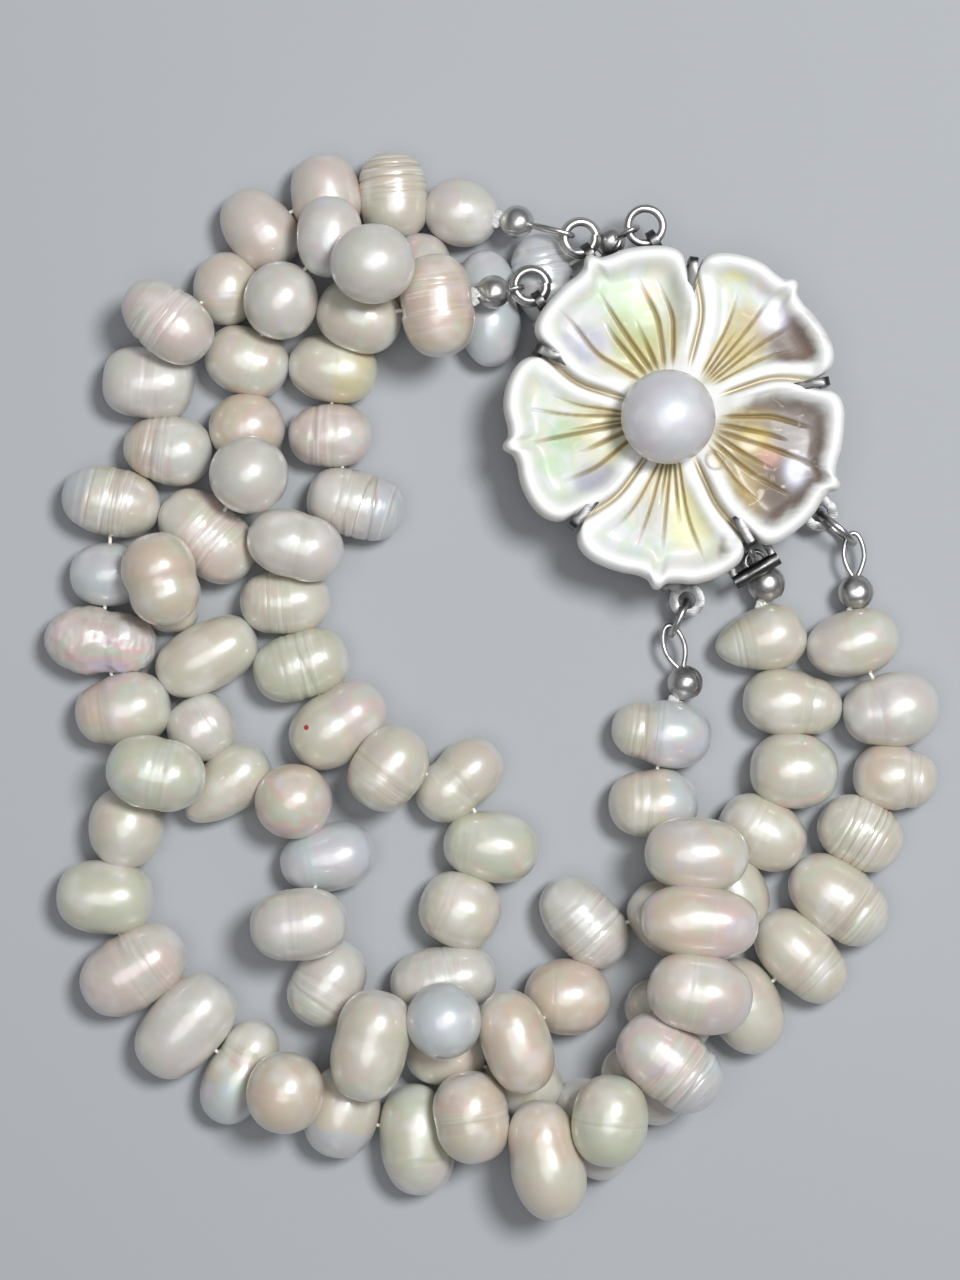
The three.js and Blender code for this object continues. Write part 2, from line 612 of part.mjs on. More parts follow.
// The origin is under the middle of the whole bracelet, on the surface it lies on.
const size = new THREE.Box3().setFromObject(bracelet, true);
const middle = size.getCenter(new THREE.Vector3());
bracelet.position.set(-middle.x, -middle.y, -size.min.z);

const group = new THREE.Group();
group.add(bracelet);

export default group;
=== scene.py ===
"""A three-strand pearl bracelet on a carved flower clasp, lying loosely on a pale table.

Laid out as a Blender add-on: sizes and colours are properties, and each group of pieces is an operator.
Tables are in millimetres, and everything that reaches Blender is in metres.
"""

import math

import bmesh
import bpy
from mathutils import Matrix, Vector


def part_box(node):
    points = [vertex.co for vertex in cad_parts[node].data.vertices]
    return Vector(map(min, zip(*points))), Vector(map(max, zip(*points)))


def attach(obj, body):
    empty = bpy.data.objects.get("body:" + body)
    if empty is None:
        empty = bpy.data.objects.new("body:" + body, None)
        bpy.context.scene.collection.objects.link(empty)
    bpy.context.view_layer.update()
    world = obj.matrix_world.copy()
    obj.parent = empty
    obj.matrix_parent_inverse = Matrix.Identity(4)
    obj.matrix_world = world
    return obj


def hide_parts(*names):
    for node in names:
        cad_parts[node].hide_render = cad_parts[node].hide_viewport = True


bl_info = {
    "name": "Pearl bracelet",
    "version": (1, 0, 0),
    "blender": (4, 5, 0),
    "location": "View3D > Sidebar > Bracelet",
    "description": "Builds a three-strand pearl bracelet with a mother-of-pearl flower clasp",
    "category": "Object",
}

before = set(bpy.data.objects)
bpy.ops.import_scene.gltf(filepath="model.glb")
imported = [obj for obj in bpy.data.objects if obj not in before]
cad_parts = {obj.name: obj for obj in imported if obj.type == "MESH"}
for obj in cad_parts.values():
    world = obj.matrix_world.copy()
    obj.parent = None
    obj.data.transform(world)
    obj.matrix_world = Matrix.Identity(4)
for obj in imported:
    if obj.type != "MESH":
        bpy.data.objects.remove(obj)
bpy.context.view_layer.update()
MM = 0.001

# ------------------------------------------------------------------ the pearls' tables
PEARL_COLUMNS = (
    "x", "y", "length", "width", "turn", "layer",
    "round", "taper", "waist", "place", "rings", "lump", "body", "flush",
)
# turn is the long axis, in degrees from +X. layer is 0 on the table and more on top of other pearls.
# round is 2 for an egg and more for a barrel. taper narrows the far end, or the near end if negative.
# waist is the depth of a groove round the pearl at place, from -1 to 1 along the axis, where the rings
# lie too.
STRAND_A = (
    (-2.2, 34.9, 6.2, 5.6, -20, 0, 2.1, 0.06, 0.00, 0.0, 0.1, 0.5, "white", 0.4),
    (-7.2, 37.2, 7.2, 5.7, 95, 0, 2.7, 0.05, 0.00, 0.5, 1.0, 0.5, "cream", 0.2),
    (-12.9, 37.25, 6.3, 5.9, 100, 0, 2.7, 0.16, 0.00, 0.0, 0.0, 0.4, "rose", 0.1),
    (-18.5, 34.3, 7.3, 5.8, -50, 0, 2.3, -0.14, 0.00, 0.0, 0.1, 0.5, "rose", 0.4),
    (-20.85, 29.05, 6.1, 5.5, 90, 0, 2.1, 0.00, 0.00, -0.3, 0.2, 0.5, "cream", 0.6),
    (-25.95, 26.1, 8.1, 5.8, -38, 0, 2.3, -0.14, 0.03, -0.2, 0.7, 0.8, "rose", 0.3),
    (-27.6, 21.5, 7.5, 5.9, -5, 0, 2.9, 0.00, 0.00, 0.0, 0.4, 0.4, "white", 0.2),
    (-26.15, 16.15, 7.3, 5.9, -8, 0, 2.3, -0.22, 0.03, -0.3, 0.6, 0.5, "white", 0.3),
    (-29.9, 11.35, 8.2, 5.8, -12, 0, 2.3, 0.04, 0.02, -0.1, 0.8, 0.6, "cream", 0.2),
    (-30.9, 5.5, 6.4, 5.3, 0, 0, 2.3, 0.00, 0.00, 0.0, 0.1, 0.4, "cool", 0.3),
    (-31.0, 0.4, 9.2, 5.7, -5, 0, 2.3, 0.00, 0.10, 0.15, 0.2, 3.2, "rose", 1.0),
    (-29.3, -5.7, 7.9, 6.2, 10, 0, 2.3, -0.12, 0.07, -0.45, 0.2, 0.5, "cream", 0.7),
    (-26.55, -11.1, 8.1, 6.1, -12, 1, 2.3, 0.00, 0.04, 0.1, 0.3, 1.3, "green", 0.5),
    (-29.6, -15.7, 6.8, 6.2, 90, 0, 2.1, 0.00, 0.00, 0.0, 0.0, 0.5, "cream", 0.2),
    (-31.05, -22.0, 8.0, 6.1, -5, 0, 2.5, 0.00, 0.00, 0.0, 0.0, 0.3, "green", 0.1),
    (-28.65, -27.6, 9.3, 6.5, 32, 0, 2.3, 0.03, 0.05, 0.15, 0.5, 0.5, "rose", 0.4),
    (-24.6, -32.1, 9.5, 6.4, 48, 0, 2.5, 0.00, 0.00, 0.0, 0.1, 0.5, "white", 0.1),
    (-20.35, -35.8, 9.1, 5.5, 64, 0, 2.3, 0.10, 0.10, 0.25, 0.3, 0.6, "cream", 1.0),
    (-16.3, -37.2, 6.7, 6.3, 80, 0, 2.1, 0.00, 0.00, 0.0, 0.1, 0.4, "peach", 0.3),
    (-11.45, -39.25, 7.6, 6.2, 77, 0, 2.3, 0.00, 0.00, 0.0, 0.0, 0.5, "cream", 0.2),
    (-5.3, -41.75, 9.1, 6.2, 97, 0, 2.3, 0.06, 0.00, -0.3, 0.2, 0.7, "green", 0.2),
    (-0.6, -39.0, 7.5, 6.2, 100, 2, 2.3, 0.00, 0.02, 0.0, 0.3, 0.7, "peach", 0.5),
    (5.6, -42.55, 9.9, 6.2, 102, 1, 2.3, 0.10, 0.05, 0.2, 0.0, 0.5, "peach", 0.4),
    (10.7, -39.15, 7.4, 6.2, 85, 2, 2.3, 0.00, 0.00, 0.0, 0.2, 0.5, "green", 0.3),
    (15.6, -34.35, 9.3, 6.3, -40, 1, 2.5, 0.05, 0.03, 0.3, 0.8, 0.5, "rose", 0.8),
    (17.5, -29.45, 8.5, 6.5, -12, 1, 2.3, 0.04, 0.03, -0.2, 0.2, 0.5, "cream", 0.5),
    (17.95, -23.6, 9.45, 5.85, -5, 1, 2.5, 0.00, 0.02, 0.2, 0.1, 0.8, "peach", 0.7),
    (17.9, -17.8, 8.4, 6.1, -5, 1, 2.3, 0.00, 0.00, -0.2, 0.1, 0.5, "cream", 0.45),
    (14.5, -13.7, 7.4, 5.9, 0, 0, 2.3, -0.05, 0.04, -0.2, 0.4, 0.5, "cream", 0.3),
    (15.2, -7.8, 8.3, 5.7, -8, 0, 2.3, -0.12, 0.10, -0.35, 0.5, 0.6, "cream", 0.7),
)
STRAND_B = (
    (5.1, 30.2, 7.5, 5.1, 102, 0, 2.3, 0.00, 0.00, 0.2, 0.8, 0.5, "cool", 0.1),
    (0.9, 27.8, 9.6, 5.3, 95, 0, 2.3, 0.00, 0.12, 0.1, 0.2, 0.5, "cool", 0.2),
    (-4.7, 30.8, 7.6, 5.5, 85, 0, 2.3, 0.00, 0.00, 0.2, 0.2, 0.4, "rose", 0.9),
    (-8.45, 30.4, 6.8, 6.4, 0, 1.2, 2.05, 0.00, 0.00, 0.0, 0.0, 0.3, "white", 0.3),
    (-12.4, 33.35, 6.6, 5.4, 90, 0.3, 2.3, 0.00, 0.00, 0.0, 0.1, 0.5, "rose", 1.0),
    (-16.55, 28.1, 6.4, 6.1, 80, 0, 2.05, 0.00, 0.00, 0.0, 0.0, 0.4, "white", 0.2),
    (-19.45, 23.65, 7.0, 5.7, -20, 0, 2.3, 0.00, 0.03, 0.2, 0.2, 0.8, "cream", 0.3),
    (-19.5, 17.6, 6.3, 5.8, 0, 0, 2.1, 0.00, 0.00, 0.0, 0.1, 0.5, "peach", 0.3),
    (-18.9, 13.4, 6.5, 6.4, 0, 1, 2., 0.00, 0.00, 0.0, 0.0, 0.3, "white", 0.2),
    (-23.4, 9.0, 9.0, 6.2, -42, 0, 2.3, -0.05, 0.06, 0.0, 0.7, 0.8, "cream", 0.7),
    (-26.5, 5.0, 7.6, 6.3, -75, 1, 2.3, 0.04, 0.08, 0.1, 0.1, 0.6, "peach", 0.5),
    (-26.5, 2.0, 4.6, 4.2, 0, 0, 2.3, 0.00, 0.00, 0.0, 0.0, 0.4, "cream", 0.2),
    (-22.8, -1.3, 8.8, 5.6, 28, 0, 2.5, 0.00, 0.00, 0.0, 0.0, 0.5, "cream", 0.2),
    (-23.5, -7.3, 5.7, 5.5, 30, 0, 2.3, 0.00, 0.03, 0.2, 0.2, 1.5, "white", 0.3),
    (-21.2, -12.15, 8.3, 5.4, 40, 0, 2.1, -0.38, 0.00, 0.2, 0.1, 0.6, "cream", 0.5),
    (-15.7, -13.6, 6.4, 6.2, 0, 0, 2.05, 0.00, 0.00, 0.0, 0.0, 0.4, "peach", 0.9),
    (-12.85, -17.9, 7.9, 5.7, 12, 0, 2.3, -0.14, 0.00, -0.4, 0.1, 1.0, "cool", 0.2),
    (-14.85, -23.75, 8.0, 6.0, 5, 0, 2.3, 0.00, 0.02, -0.1, 0.2, 0.5, "white", 0.1),
    (-12.8, -28.45, 7.5, 6.0, 60, 0, 2.3, 0.10, 0.02, -0.3, 0.5, 0.6, "white", 0.3),
    (-9.0, -33.6, 9.0, 6.3, 76, 1, 2.6, -0.10, 0.03, 0.1, 0.1, 0.4, "cream", 0.2),
    (-2.55, -31.2, 6.3, 6.2, 0, 1, 2.05, 0.00, 0.00, 0.0, 0.4, 0.4, "cool", 0.2),
    (2.25, -33.3, 8.55, 5.7, 108, 1, 2.3, 0.05, 0.00, 0.3, 0.1, 0.5, "peach", 0.4),
    (7.55, -29.3, 7.2, 6.3, -5, 0, 2.1, 0.00, 0.00, -0.3, 0.2, 0.4, "peach", 0.3),
    (9.25, -23.9, 8.5, 5.8, -47, 0, 2.3, -0.06, 0.04, 0.15, 0.8, 0.5, "white", 0.3),
    (15.8, -23.6, 8.0, 5.8, -35, 0, 2.3, 0.00, 0.00, 0.0, 0.2, 0.4, "cream", 0.3),
    (21.1, -20.8, 6.7, 5.5, -60, 0, 2.3, 0.00, 0.00, 0.0, 0.0, 0.4, "cream", 0.2),
    (23.8, -15.8, 7.5, 5.8, -30, 0, 2.3, 0.00, 0.00, -0.2, 0.3, 1.0, "cream", 0.2),
    (25.9, -11.15, 7.3, 6.3, -5, 0, 2.3, 0.05, 0.00, 0.0, 0.1, 0.6, "cream", 0.6),
    (26.6, -5.1, 8.2, 5.7, -8, 0, 2.3, 0.14, 0.08, 0.35, 0.3, 0.6, "cream", 0.2),
    (23.5, 0.05, 7.6, 5.7, 12, 0, 2.1, -0.42, 0.02, -0.45, 0.4, 0.5, "cream", 0.3),
)
STRAND_C = (
    (-3.9, 27.6, 8.3, 6.0, 97, 1, 2.5, 0.00, 0.03, 0.1, 0.7, 0.5, "peach", 0.6),
    (-9.9, 27.0, 7.0, 5.8, -20, 0, 2.3, 0.00, 0.00, 0.0, 0.1, 0.6, "cream", 0.4),
    (-12.4, 22.8, 7.4, 5.6, -10, 0, 2.3, -0.04, 0.00, 0.1, 0.1, 0.6, "cream", 0.2),
    (-12.5, 17.1, 7.0, 5.3, 0, 0, 2.3, 0.00, 0.03, -0.3, 0.6, 0.5, "rose", 0.4),
    (-10.5, 11.2, 8.1, 5.6, -15, 0, 2.6, 0.03, 0.02, 0.25, 1.0, 0.5, "white", 0.2),
    (-15.7, 8.4, 8.0, 5.7, -17, 0, 2.3, 0.00, 0.04, 0.1, 0.2, 0.7, "white", 0.2),
    (-16.5, 3.0, 7.5, 5.5, 3, 0, 2.3, 0.05, 0.04, -0.25, 0.5, 0.5, "cream", 0.3),
    (-15.0, -2.3, 8.0, 5.7, 17, 0, 2.5, 0.00, 0.03, 0.05, 0.6, 0.5, "green", 0.2),
    (-11.8, -7.0, 8.6, 6.2, 35, 0, 2.3, 0.06, 0.07, 0.15, 0.2, 0.7, "cream", 0.7),
    (-7.35, -10.65, 7.3, 6.0, 55, 0, 2.3, 0.06, 0.02, -0.3, 0.4, 0.8, "cream", 0.3),
    (-1.8, -12.0, 8.1, 5.5, 42, 0, 2.3, 0.00, 0.08, -0.1, 0.3, 0.8, "cream", 0.3),
    (0.5, -17.3, 7.9, 5.9, -8, 0, 2.3, -0.03, 0.03, -0.55, 0.2, 0.5, "green", 0.4),
    (-1.5, -22.5, 6.8, 6.3, -20, 0, 2.3, 0.00, 0.02, -0.4, 0.2, 0.5, "cream", 0.3),
    (-3.0, -28.2, 8.8, 5.8, 10, 0, 2.4, 0.00, 0.03, 0.1, 0.5, 0.6, "white", 0.3),
    (-2.8, -34.7, 6.7, 5.6, 0, 0, 2.3, 0.00, 0.00, 0.0, 0.0, 0.4, "cream", 0.2),
    (3.7, -37.1, 6.6, 5.5, -30, 0, 2.3, 0.00, 0.00, 0.0, 0.1, 0.5, "cream", 0.2),
    (9.6, -40.8, 8.6, 5.6, -68, 0, 2.3, 0.00, 0.00, 0.0, 0.0, 0.4, "white", 0.2),
    (13.8, -37.0, 7.6, 5.5, -42, 0, 2.3, 0.00, 0.00, 0.0, 0.1, 0.4, "white", 0.2),
    (16.2, -31.2, 7.5, 5.3, -25, 0, 2.3, 0.00, 0.00, 0.0, 0.0, 0.4, "cream", 0.2),
    (22.3, -30.2, 8.2, 6.1, -62, 0, 2.3, 0.05, 0.00, 0.0, 0.1, 0.5, "cream", 0.2),
    (26.3, -26.85, 8.9, 5.8, -45, 0, 2.3, 0.06, 0.05, 0.35, 0.4, 0.6, "cream", 0.2),
    (30.0, -21.7, 9.1, 6.1, -38, 0, 2.3, 0.00, 0.03, 0.35, 0.6, 0.5, "cream", 0.6),
    (32.0, -15.9, 7.3, 5.8, -30, 0, 2.3, 0.00, 0.02, 0.0, 1.0, 0.5, "cream", 0.2),
    (34.5, -11.5, 7.0, 5.6, -8, 0, 2.3, 0.05, 0.09, 0.4, 0.4, 0.9, "cream", 0.4),
    (34.3, -6.25, 8.0, 6.3, 8, 0, 2.3, -0.10, 0.06, -0.35, 0.2, 0.4, "white", 0.2),
    (30.8, -1.05, 7.8, 5.6, 12, 0, 2.15, -0.12, 0.00, -0.2, 0.1, 0.6, "cream", 0.5),
)
# Pearls of two tones, by strand and number: colour of the cap, which end it is at, and where it starts.
CAPS = {
    "strand_a": {
        6: ("white", -1, 0.3), 8: ("peach", -1, 0.3), 9: ("cool", -1, 0.5), 12: ("peach", -1, 0.3),
        18: ("cool", -1, 0.3), 20: ("cool", -1, 0.3), 21: ("white", -1, 0.4), 23: ("cream", -1, 0.0),
        24: ("green", -1, 0.0), 25: ("cool", 1, 0.4), 26: ("rose", 1, 0.1), 27: ("rose", 1, 0.1),
        28: ("cream", 1, 0.0), 29: ("cool", 1, 0.3), 30: ("cool", 1, -0.2),
    },
    "strand_b": {
        17: ("cool", -1, 0.2), 19: ("white", -1, 0.2), 30: ("green", -1, 0.4),
    },
    "strand_c": {
        3: ("gold", 1, 0.1), 5: ("cool", 1, 0.3), 9: ("rose", 1, 0.1), 12: ("green", 1, -0.2),
        17: ("white", -1, 0.2), 24: ("peach", -1, 0.3), 25: ("white", 1, -0.3), 26: ("rose", -1, 0.2),
    },
}
STRANDS = (
    ("strand_a", STRAND_A, 6),
    ("strand_b", STRAND_B, 6),
    ("strand_c", STRAND_C, 5),
)
PEARL_SKIN = 0.15
PLUMP = 1.035
END_ON = (("strand_b", 21),)  # stands on end, seen along its thread

# How the pile of pearls settles: the same steps as in the solids that these pearls cover.
LAYER_RISE = 4.5
ODD_RISE = 0.6
SETTLE_ROUNDS = 200
QUIET_ROUNDS = 40
HOME_PULL = 0.3
SINK_STEP = 0.05
SOLID_GAP = 0.2
NEST = 0.3
FAR = 12
CORE_STEPS = 4

# ------------------------------------------------------------------ the clasp's tables
FLOWER = (16.1, 18.7)
CENTRE_PEARL = (15.3, 18.15)
PETALS = 5
CUSP_ANGLE = 47.5
SHELL = {
    "bottom": 6.9, "seat": 7.6, "dish": 7.95, "rim": 9.35, "groove": 7.7,
    "radius": 14.05, "notch": 12.0, "notch_side": 0.93, "inset": 0.5,
    "point": 0.60, "point_side": 0.065, "dip": 0.16, "dip_side": 0.19,
    "groove_half": 0.16, "rim_at": 0.75, "rim_width": 0.95, "blend": 0.45,
}
# Each petal's two sides lie over (1) or under their neighbours: the clockwise side, then the other.
PETAL_SIDES = ((0.45, 0.35), (1.0, 1.0), (0.45, 1.0), (0.4, 0.4), (1.0, 1.0))
# How far each seam between petals swings near the middle, in degrees: the seam before each petal.
SEAM_BENDS = (9.0, -9.0, 9.0, 8.0, -6.0)
VEIN_COLUMNS = ("start", "spread", "bend", "end")
VEINS = (
    (-1.25, -0.44, -0.004, 10.4),
    (-0.75, -0.26, 0.004, 12.0),
    (-0.30, -0.09, 0.006, 9.0),
    (0.05, 0.03, 0.002, 12.8),
    (0.45, 0.17, 0.004, 9.4),
    (0.95, 0.33, 0.008, 11.8),
)
VEIN_DEPTH = 0.42
VEIN_HALF = 0.17

# Colour in the shell: place from the flower's middle, half sizes, colour and strength. Most rows are the
# shell's own colour; a few are painted light, marked below.
TINT_COLUMNS = ("x", "y", "wide", "high", "colour", "amount")
TINTS_AND_PAINTED_LIGHT = (
    (-3.2, 6.6, 2.2, 3.2, (0.44, 0.50, 0.27), 0.85),
    (-5.0, 9.6, 2.0, 1.8, (0.60, 0.74, 0.50), 0.60),
    (-2.1, 10.0, 0.7, 0.7, (0.90, 0.62, 0.45), 0.60),
    (0.3, 8.4, 1.2, 3.4, (0.52, 0.54, 0.45), 0.75),
    (-7.7, 5.6, 2.0, 1.6, (0.50, 0.50, 0.58), 0.75),
    (-9.0, -1.9, 1.5, 1.4, (0.34, 0.58, 0.38), 0.7),
    (-10.1, -4.4, 1.4, 1.0, (0.52, 0.66, 0.44), 0.65),
    (-6.4, -5.6, 2.0, 1.5, (0.42, 0.41, 0.50), 0.80),
    (-7.2, -1.4, 2.4, 1.8, (0.62, 0.58, 0.34), 0.50),
    # Painted shadow of the centre pearl: a dark olive patch beside it.
    (-5.6, 0.2, 1.2, 1.3, (0.36, 0.30, 0.17), 0.55),
    (-3.6, -12.0, 1.5, 1.2, (0.55, 0.68, 0.68), 0.55),
    (1.3, -9.0, 2.0, 3.0, (0.68, 0.66, 0.36), 0.70),
    (-2.4, -8.0, 1.2, 2.2, (0.60, 0.58, 0.52), 0.55),
    (4.4, -11.4, 0.9, 2.2, (0.22, 0.16, 0.14), 0.9),
    (5.6, -11.9, 0.7, 0.8, (0.82, 0.82, 0.90), 0.60),
    # This row and the next: painted dark reflection over the right petal.
    (9.2, -3.4, 5.2, 5.8, (0.16, 0.12, 0.10), 0.97),
    (8.6, 0.3, 2.6, 1.1, (0.24, 0.20, 0.18), 0.6),
    (6.4, -2.2, 1.0, 0.9, (0.80, 0.64, 0.22), 0.85),
    (6.0, -2.6, 0.7, 0.6, (1.0, 0.97, 0.88), 0.80),
    (7.6, -3.6, 0.8, 0.8, (0.70, 0.36, 0.30), 0.65),
    # Painted reflection of the lamp: a lilac white spot in the right petal.
    (9.8, -4.8, 0.8, 1.1, (0.82, 0.82, 0.94), 0.90),
    (5.6, -6.4, 1.3, 2.0, (0.46, 0.33, 0.15), 0.7),
    (5.8, 6.2, 2.2, 2.6, (0.60, 0.50, 0.26), 0.75),
    (5.2, 11.6, 1.6, 1.0, (0.80, 0.76, 0.40), 0.65),
    # Painted dark reflection over the right half of the top right petal.
    (10.4, 5.6, 3.1, 2.9, (0.19, 0.14, 0.115), 0.95),
    (8.2, 10.6, 1.6, 1.1, (0.55, 0.38, 0.28), 0.65),
    (9.9, 10.2, 0.7, 0.7, (0.40, 0.18, 0.11), 0.75),
    (8.0, 8.0, 1.1, 1.2, (0.78, 0.76, 0.86), 0.85),
)
# A round growth mark in the shell: its middle and radius, the width of its line, its depth and its darkness.
BLEMISH = {"x": 3.15, "y": -3.95, "radius": 0.75, "line": 0.13, "depth": 0.06, "dark": 0.6}
SHELL_STEPS = 72

RING_COLUMNS = ("name", "x", "y", "z", "radius", "eye_turn", "hook_turn", "flat", "coils")
RINGS = (
    ("jump_ring_a1", 8.3, 33.3, 5.6, 1.5, -60, 164, True, 2),
    ("jump_ring_b1", 13.7, 34.3, 5.7, 1.45, -60, 199, True, 1),
    ("jump_ring_c1", 4.2, 29.3, 5.8, 1.5, -60, 190, True, 2),
    ("jump_ring_a2", 16.65, 1.85, 2.6, 1.59, 66, 246, False, 1),
    ("jump_ring_b2", 22.55, 7.5, 2.6, 1.1, 120, 300, False, 1),
    ("jump_ring_c2", 29.85, 9.35, 2.6, 1.9, 139, 319, False, 1),
)
TIP_COLUMNS = ("name", "x", "y", "z", "radius")
TIPS = (
    ("bead_tip_a1", 3.1, 34.8, 4.3, 1.4),
    ("bead_tip_b1", 10.9, 33.2, 4.2, 1.25),
    ("bead_tip_c1", 1.1, 28.7, 7.0, 1.4),
    ("bead_tip_a2", 17.2, -3.6, 2.4, 1.5),
    ("bead_tip_b2", 24.0, 4.7, 2.5, 1.6),
    ("bead_tip_c2", 31.5, 4.0, 2.5, 1.5),
)
HOOK_NEAR = 0.85
COIL_STEPS = 40
COIL_START = 1.2
COIL_PITCH = 1.5
COIL_NARROWING = 0.20
HOOK_OVERLAP = 0.3


def frame_shift():
    """The step from the tables' frame to the model's, in millimetres, found at the pearl of the clasp."""
    low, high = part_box("centre_pearl")
    x = (low[0] + high[0]) / 2 / MM - CENTRE_PEARL[0]
    y = (low[1] + high[1]) / 2 / MM - CENTRE_PEARL[1]
    return Vector((x, y, 0))


SHIFT = frame_shift()


def place(x, y, z=0.0):
    """A point of the tables, in metres in the model's frame."""
    return (Vector((x, y, z)) + SHIFT) * MM


def read_table(columns, rows):
    return [dict(zip(columns, row)) for row in rows]


# ------------------------------------------------------------------ settings
def colour_setting(name, description, default):
    return bpy.props.FloatVectorProperty(
        name=name, description=description, default=default, subtype="COLOR", size=3
    )


def length_setting(name, description, default):
    return bpy.props.FloatProperty(
        name=name, description=description, default=default, unit="LENGTH", subtype="DISTANCE"
    )


class PearlSettings(bpy.types.PropertyGroup):
    """Shape and colours of the strung pearls."""

    segments: bpy.props.IntProperty(
        name="Segments", description="Faces round each pearl", default=48, min=12, max=96
    )
    steps: bpy.props.IntProperty(
        name="Steps", description="Faces from end to end of each pearl", default=80, min=12, max=96
    )
    thread_radius: length_setting("Thread radius", "Half the thickness of the silk", 0.00016)
    cream: colour_setting("Cream", "Warm white pearls", (0.58, 0.53, 0.42))
    white: colour_setting("White", "Clean white pearls", (0.585, 0.55, 0.49))
    rose: colour_setting("Rose", "Faintly pink pearls", (0.585, 0.5, 0.44))
    peach: colour_setting("Peach", "Peach pearls", (0.59, 0.485, 0.365))
    green: colour_setting("Green", "Pearls with a green cast", (0.535, 0.535, 0.4))
    cool: colour_setting("Cool", "Bluish white pearls", (0.505, 0.53, 0.545))
    gold: colour_setting("Gold", "Yellowish pearls", (0.62, 0.56, 0.31))


class ClaspSettings(bpy.types.PropertyGroup):
    """Colours of the flower, its pearl and the metal."""

    around: bpy.props.IntProperty(
        name="Carving detail", description="Faces round the flower", default=640, min=120, max=900
    )
    nacre: colour_setting("Nacre", "Main colour of the shell", (0.66, 0.66, 0.63))
    # Dark brown in the cut lines and the seams between petals: partly the carving's own colour, partly
    # painted shade in these grooves.
    cut_colour_and_shade: colour_setting("Engraving", "Colour in the cut lines", (0.24, 0.165, 0.05))
    pearl: colour_setting("Centre pearl", "Greyish white", (0.56, 0.545, 0.575))
    metal: colour_setting("Metal", "Plated metal", (0.13, 0.127, 0.124))
    wire_metal: colour_setting("Wire metal", "Plated wire of the rings and bead tips", (0.60, 0.585, 0.57))
    edge: length_setting("Edge", "Rounding of the metal edges", 0.00026)
    wire: length_setting("Ring wire", "Half the thickness of the ring wire", 0.00038)
    hook: length_setting("Hook wire", "Half the thickness of the bead tips' hooks", 0.00022)


class StageSettings(bpy.types.PropertyGroup):
    """Table, lights and camera."""

    floor: colour_setting("Table", "Colour of the table", (0.40, 0.41, 0.425))
    camera_height: length_setting("Camera height", "Straight above the table", 0.284)
    view_height: length_setting("View", "Long side of the view", 0.10667)
    key_power: bpy.props.FloatProperty(
        name="Key light", description="Power of the main light", default=2.1, unit="POWER"
    )
    fill_power: bpy.props.FloatProperty(
        name="Fill light", description="Power of the wide light", default=1.05, unit="POWER"
    )
    sky: bpy.props.FloatProperty(
        name="Room light", description="Strength of the light from all round", default=0.14, min=0
    )


# ------------------------------------------------------------------ node trees
class Value:
    """A socket of a node tree. Arithmetic on it adds Math nodes."""

    def __init__(self, graph, socket):
        self.graph = graph
        self.socket = socket

    def __add__(self, other):
        return self.graph.math("ADD", self, other)

    __radd__ = __add__

    def __sub__(self, other):
        return self.graph.math("SUBTRACT", self, other)

    def __rsub__(self, other):
        return self.graph.math("SUBTRACT", other, self)

    def __mul__(self, other):
        return self.graph.math("MULTIPLY", self, other)

    __rmul__ = __mul__

    def __truediv__(self, other):
        return self.graph.math("DIVIDE", self, other)

    def __pow__(self, other):
        return self.graph.math("POWER", self, other)

    def __neg__(self):
        return self.graph.math("MULTIPLY", self, -1.0)


class Graph:
    """Adds nodes to one tree."""

    def __init__(self, tree):
        self.tree = tree

    def node(self, kind, settings=None, sockets=None, output=0):
        """Adds a node: its settings come first, then the values or links of its sockets."""
        node = self.tree.nodes.new(kind)
        for name, value in (settings or {}).items():
            if name == "stops":
                self.set_stops(node.color_ramp, value)
            else:
                setattr(node, name, value)
        for name, value in (sockets or {}).items():
            if isinstance(value, Value):
                self.tree.links.new(value.socket, node.inputs[name])
            else:
                node.inputs[name].default_value = value
        return Value(self, node.outputs[output]) if len(node.outputs) else node

    @staticmethod
    def set_stops(ramp, stops):
        while len(ramp.elements) < len(stops):
            ramp.elements.new(1.0)
        for element, (position, colour) in zip(ramp.elements, stops):
            element.position = position
            element.color = (*colour, 1.0)

    def math(self, operation, *values):
        return self.node("ShaderNodeMath", {"operation": operation}, dict(enumerate(values)))

    def vector(self, operation, *values):
        return self.node("ShaderNodeVectorMath", {"operation": operation}, dict(enumerate(values)))

    def scale(self, vector, factor):
        return self.node("ShaderNodeVectorMath", {"operation": "SCALE"}, {0: vector, "Scale": factor})

    def smooth(self, value, low, high):
        """0 below low, 1 above high, smooth between; low may be the larger one."""
        ends = {"Value": value, "From Min": low, "From Max": high}
        return self.node("ShaderNodeMapRange", {"interpolation_type": "SMOOTHSTEP"}, ends)

    def mix(self, factor, first, second, blend="MIX"):
        settings = {"data_type": "RGBA", "blend_type": blend}
        return self.node("ShaderNodeMix", settings, {0: factor, 6: first, 7: second}, output=2)

    def parts(self, vector):
        node = self.node("ShaderNodeSeparateXYZ", {}, {0: vector}).socket.node
        return [Value(self, output) for output in node.outputs]

    def noise(self, vector, scale, detail=2.0, distortion=0.0):
        sockets = {"Vector": vector, "Scale": scale, "Detail": detail, "Distortion": distortion}
        return self.node("ShaderNodeTexNoise", {}, sockets, output=0)


def bump(graph, strength, distance, height):
    sockets = {"Strength": strength, "Distance": distance, "Height": height}
    return graph.node("ShaderNodeBump", {}, sockets)


def rgba(colour):
    return (*colour, 1.0)


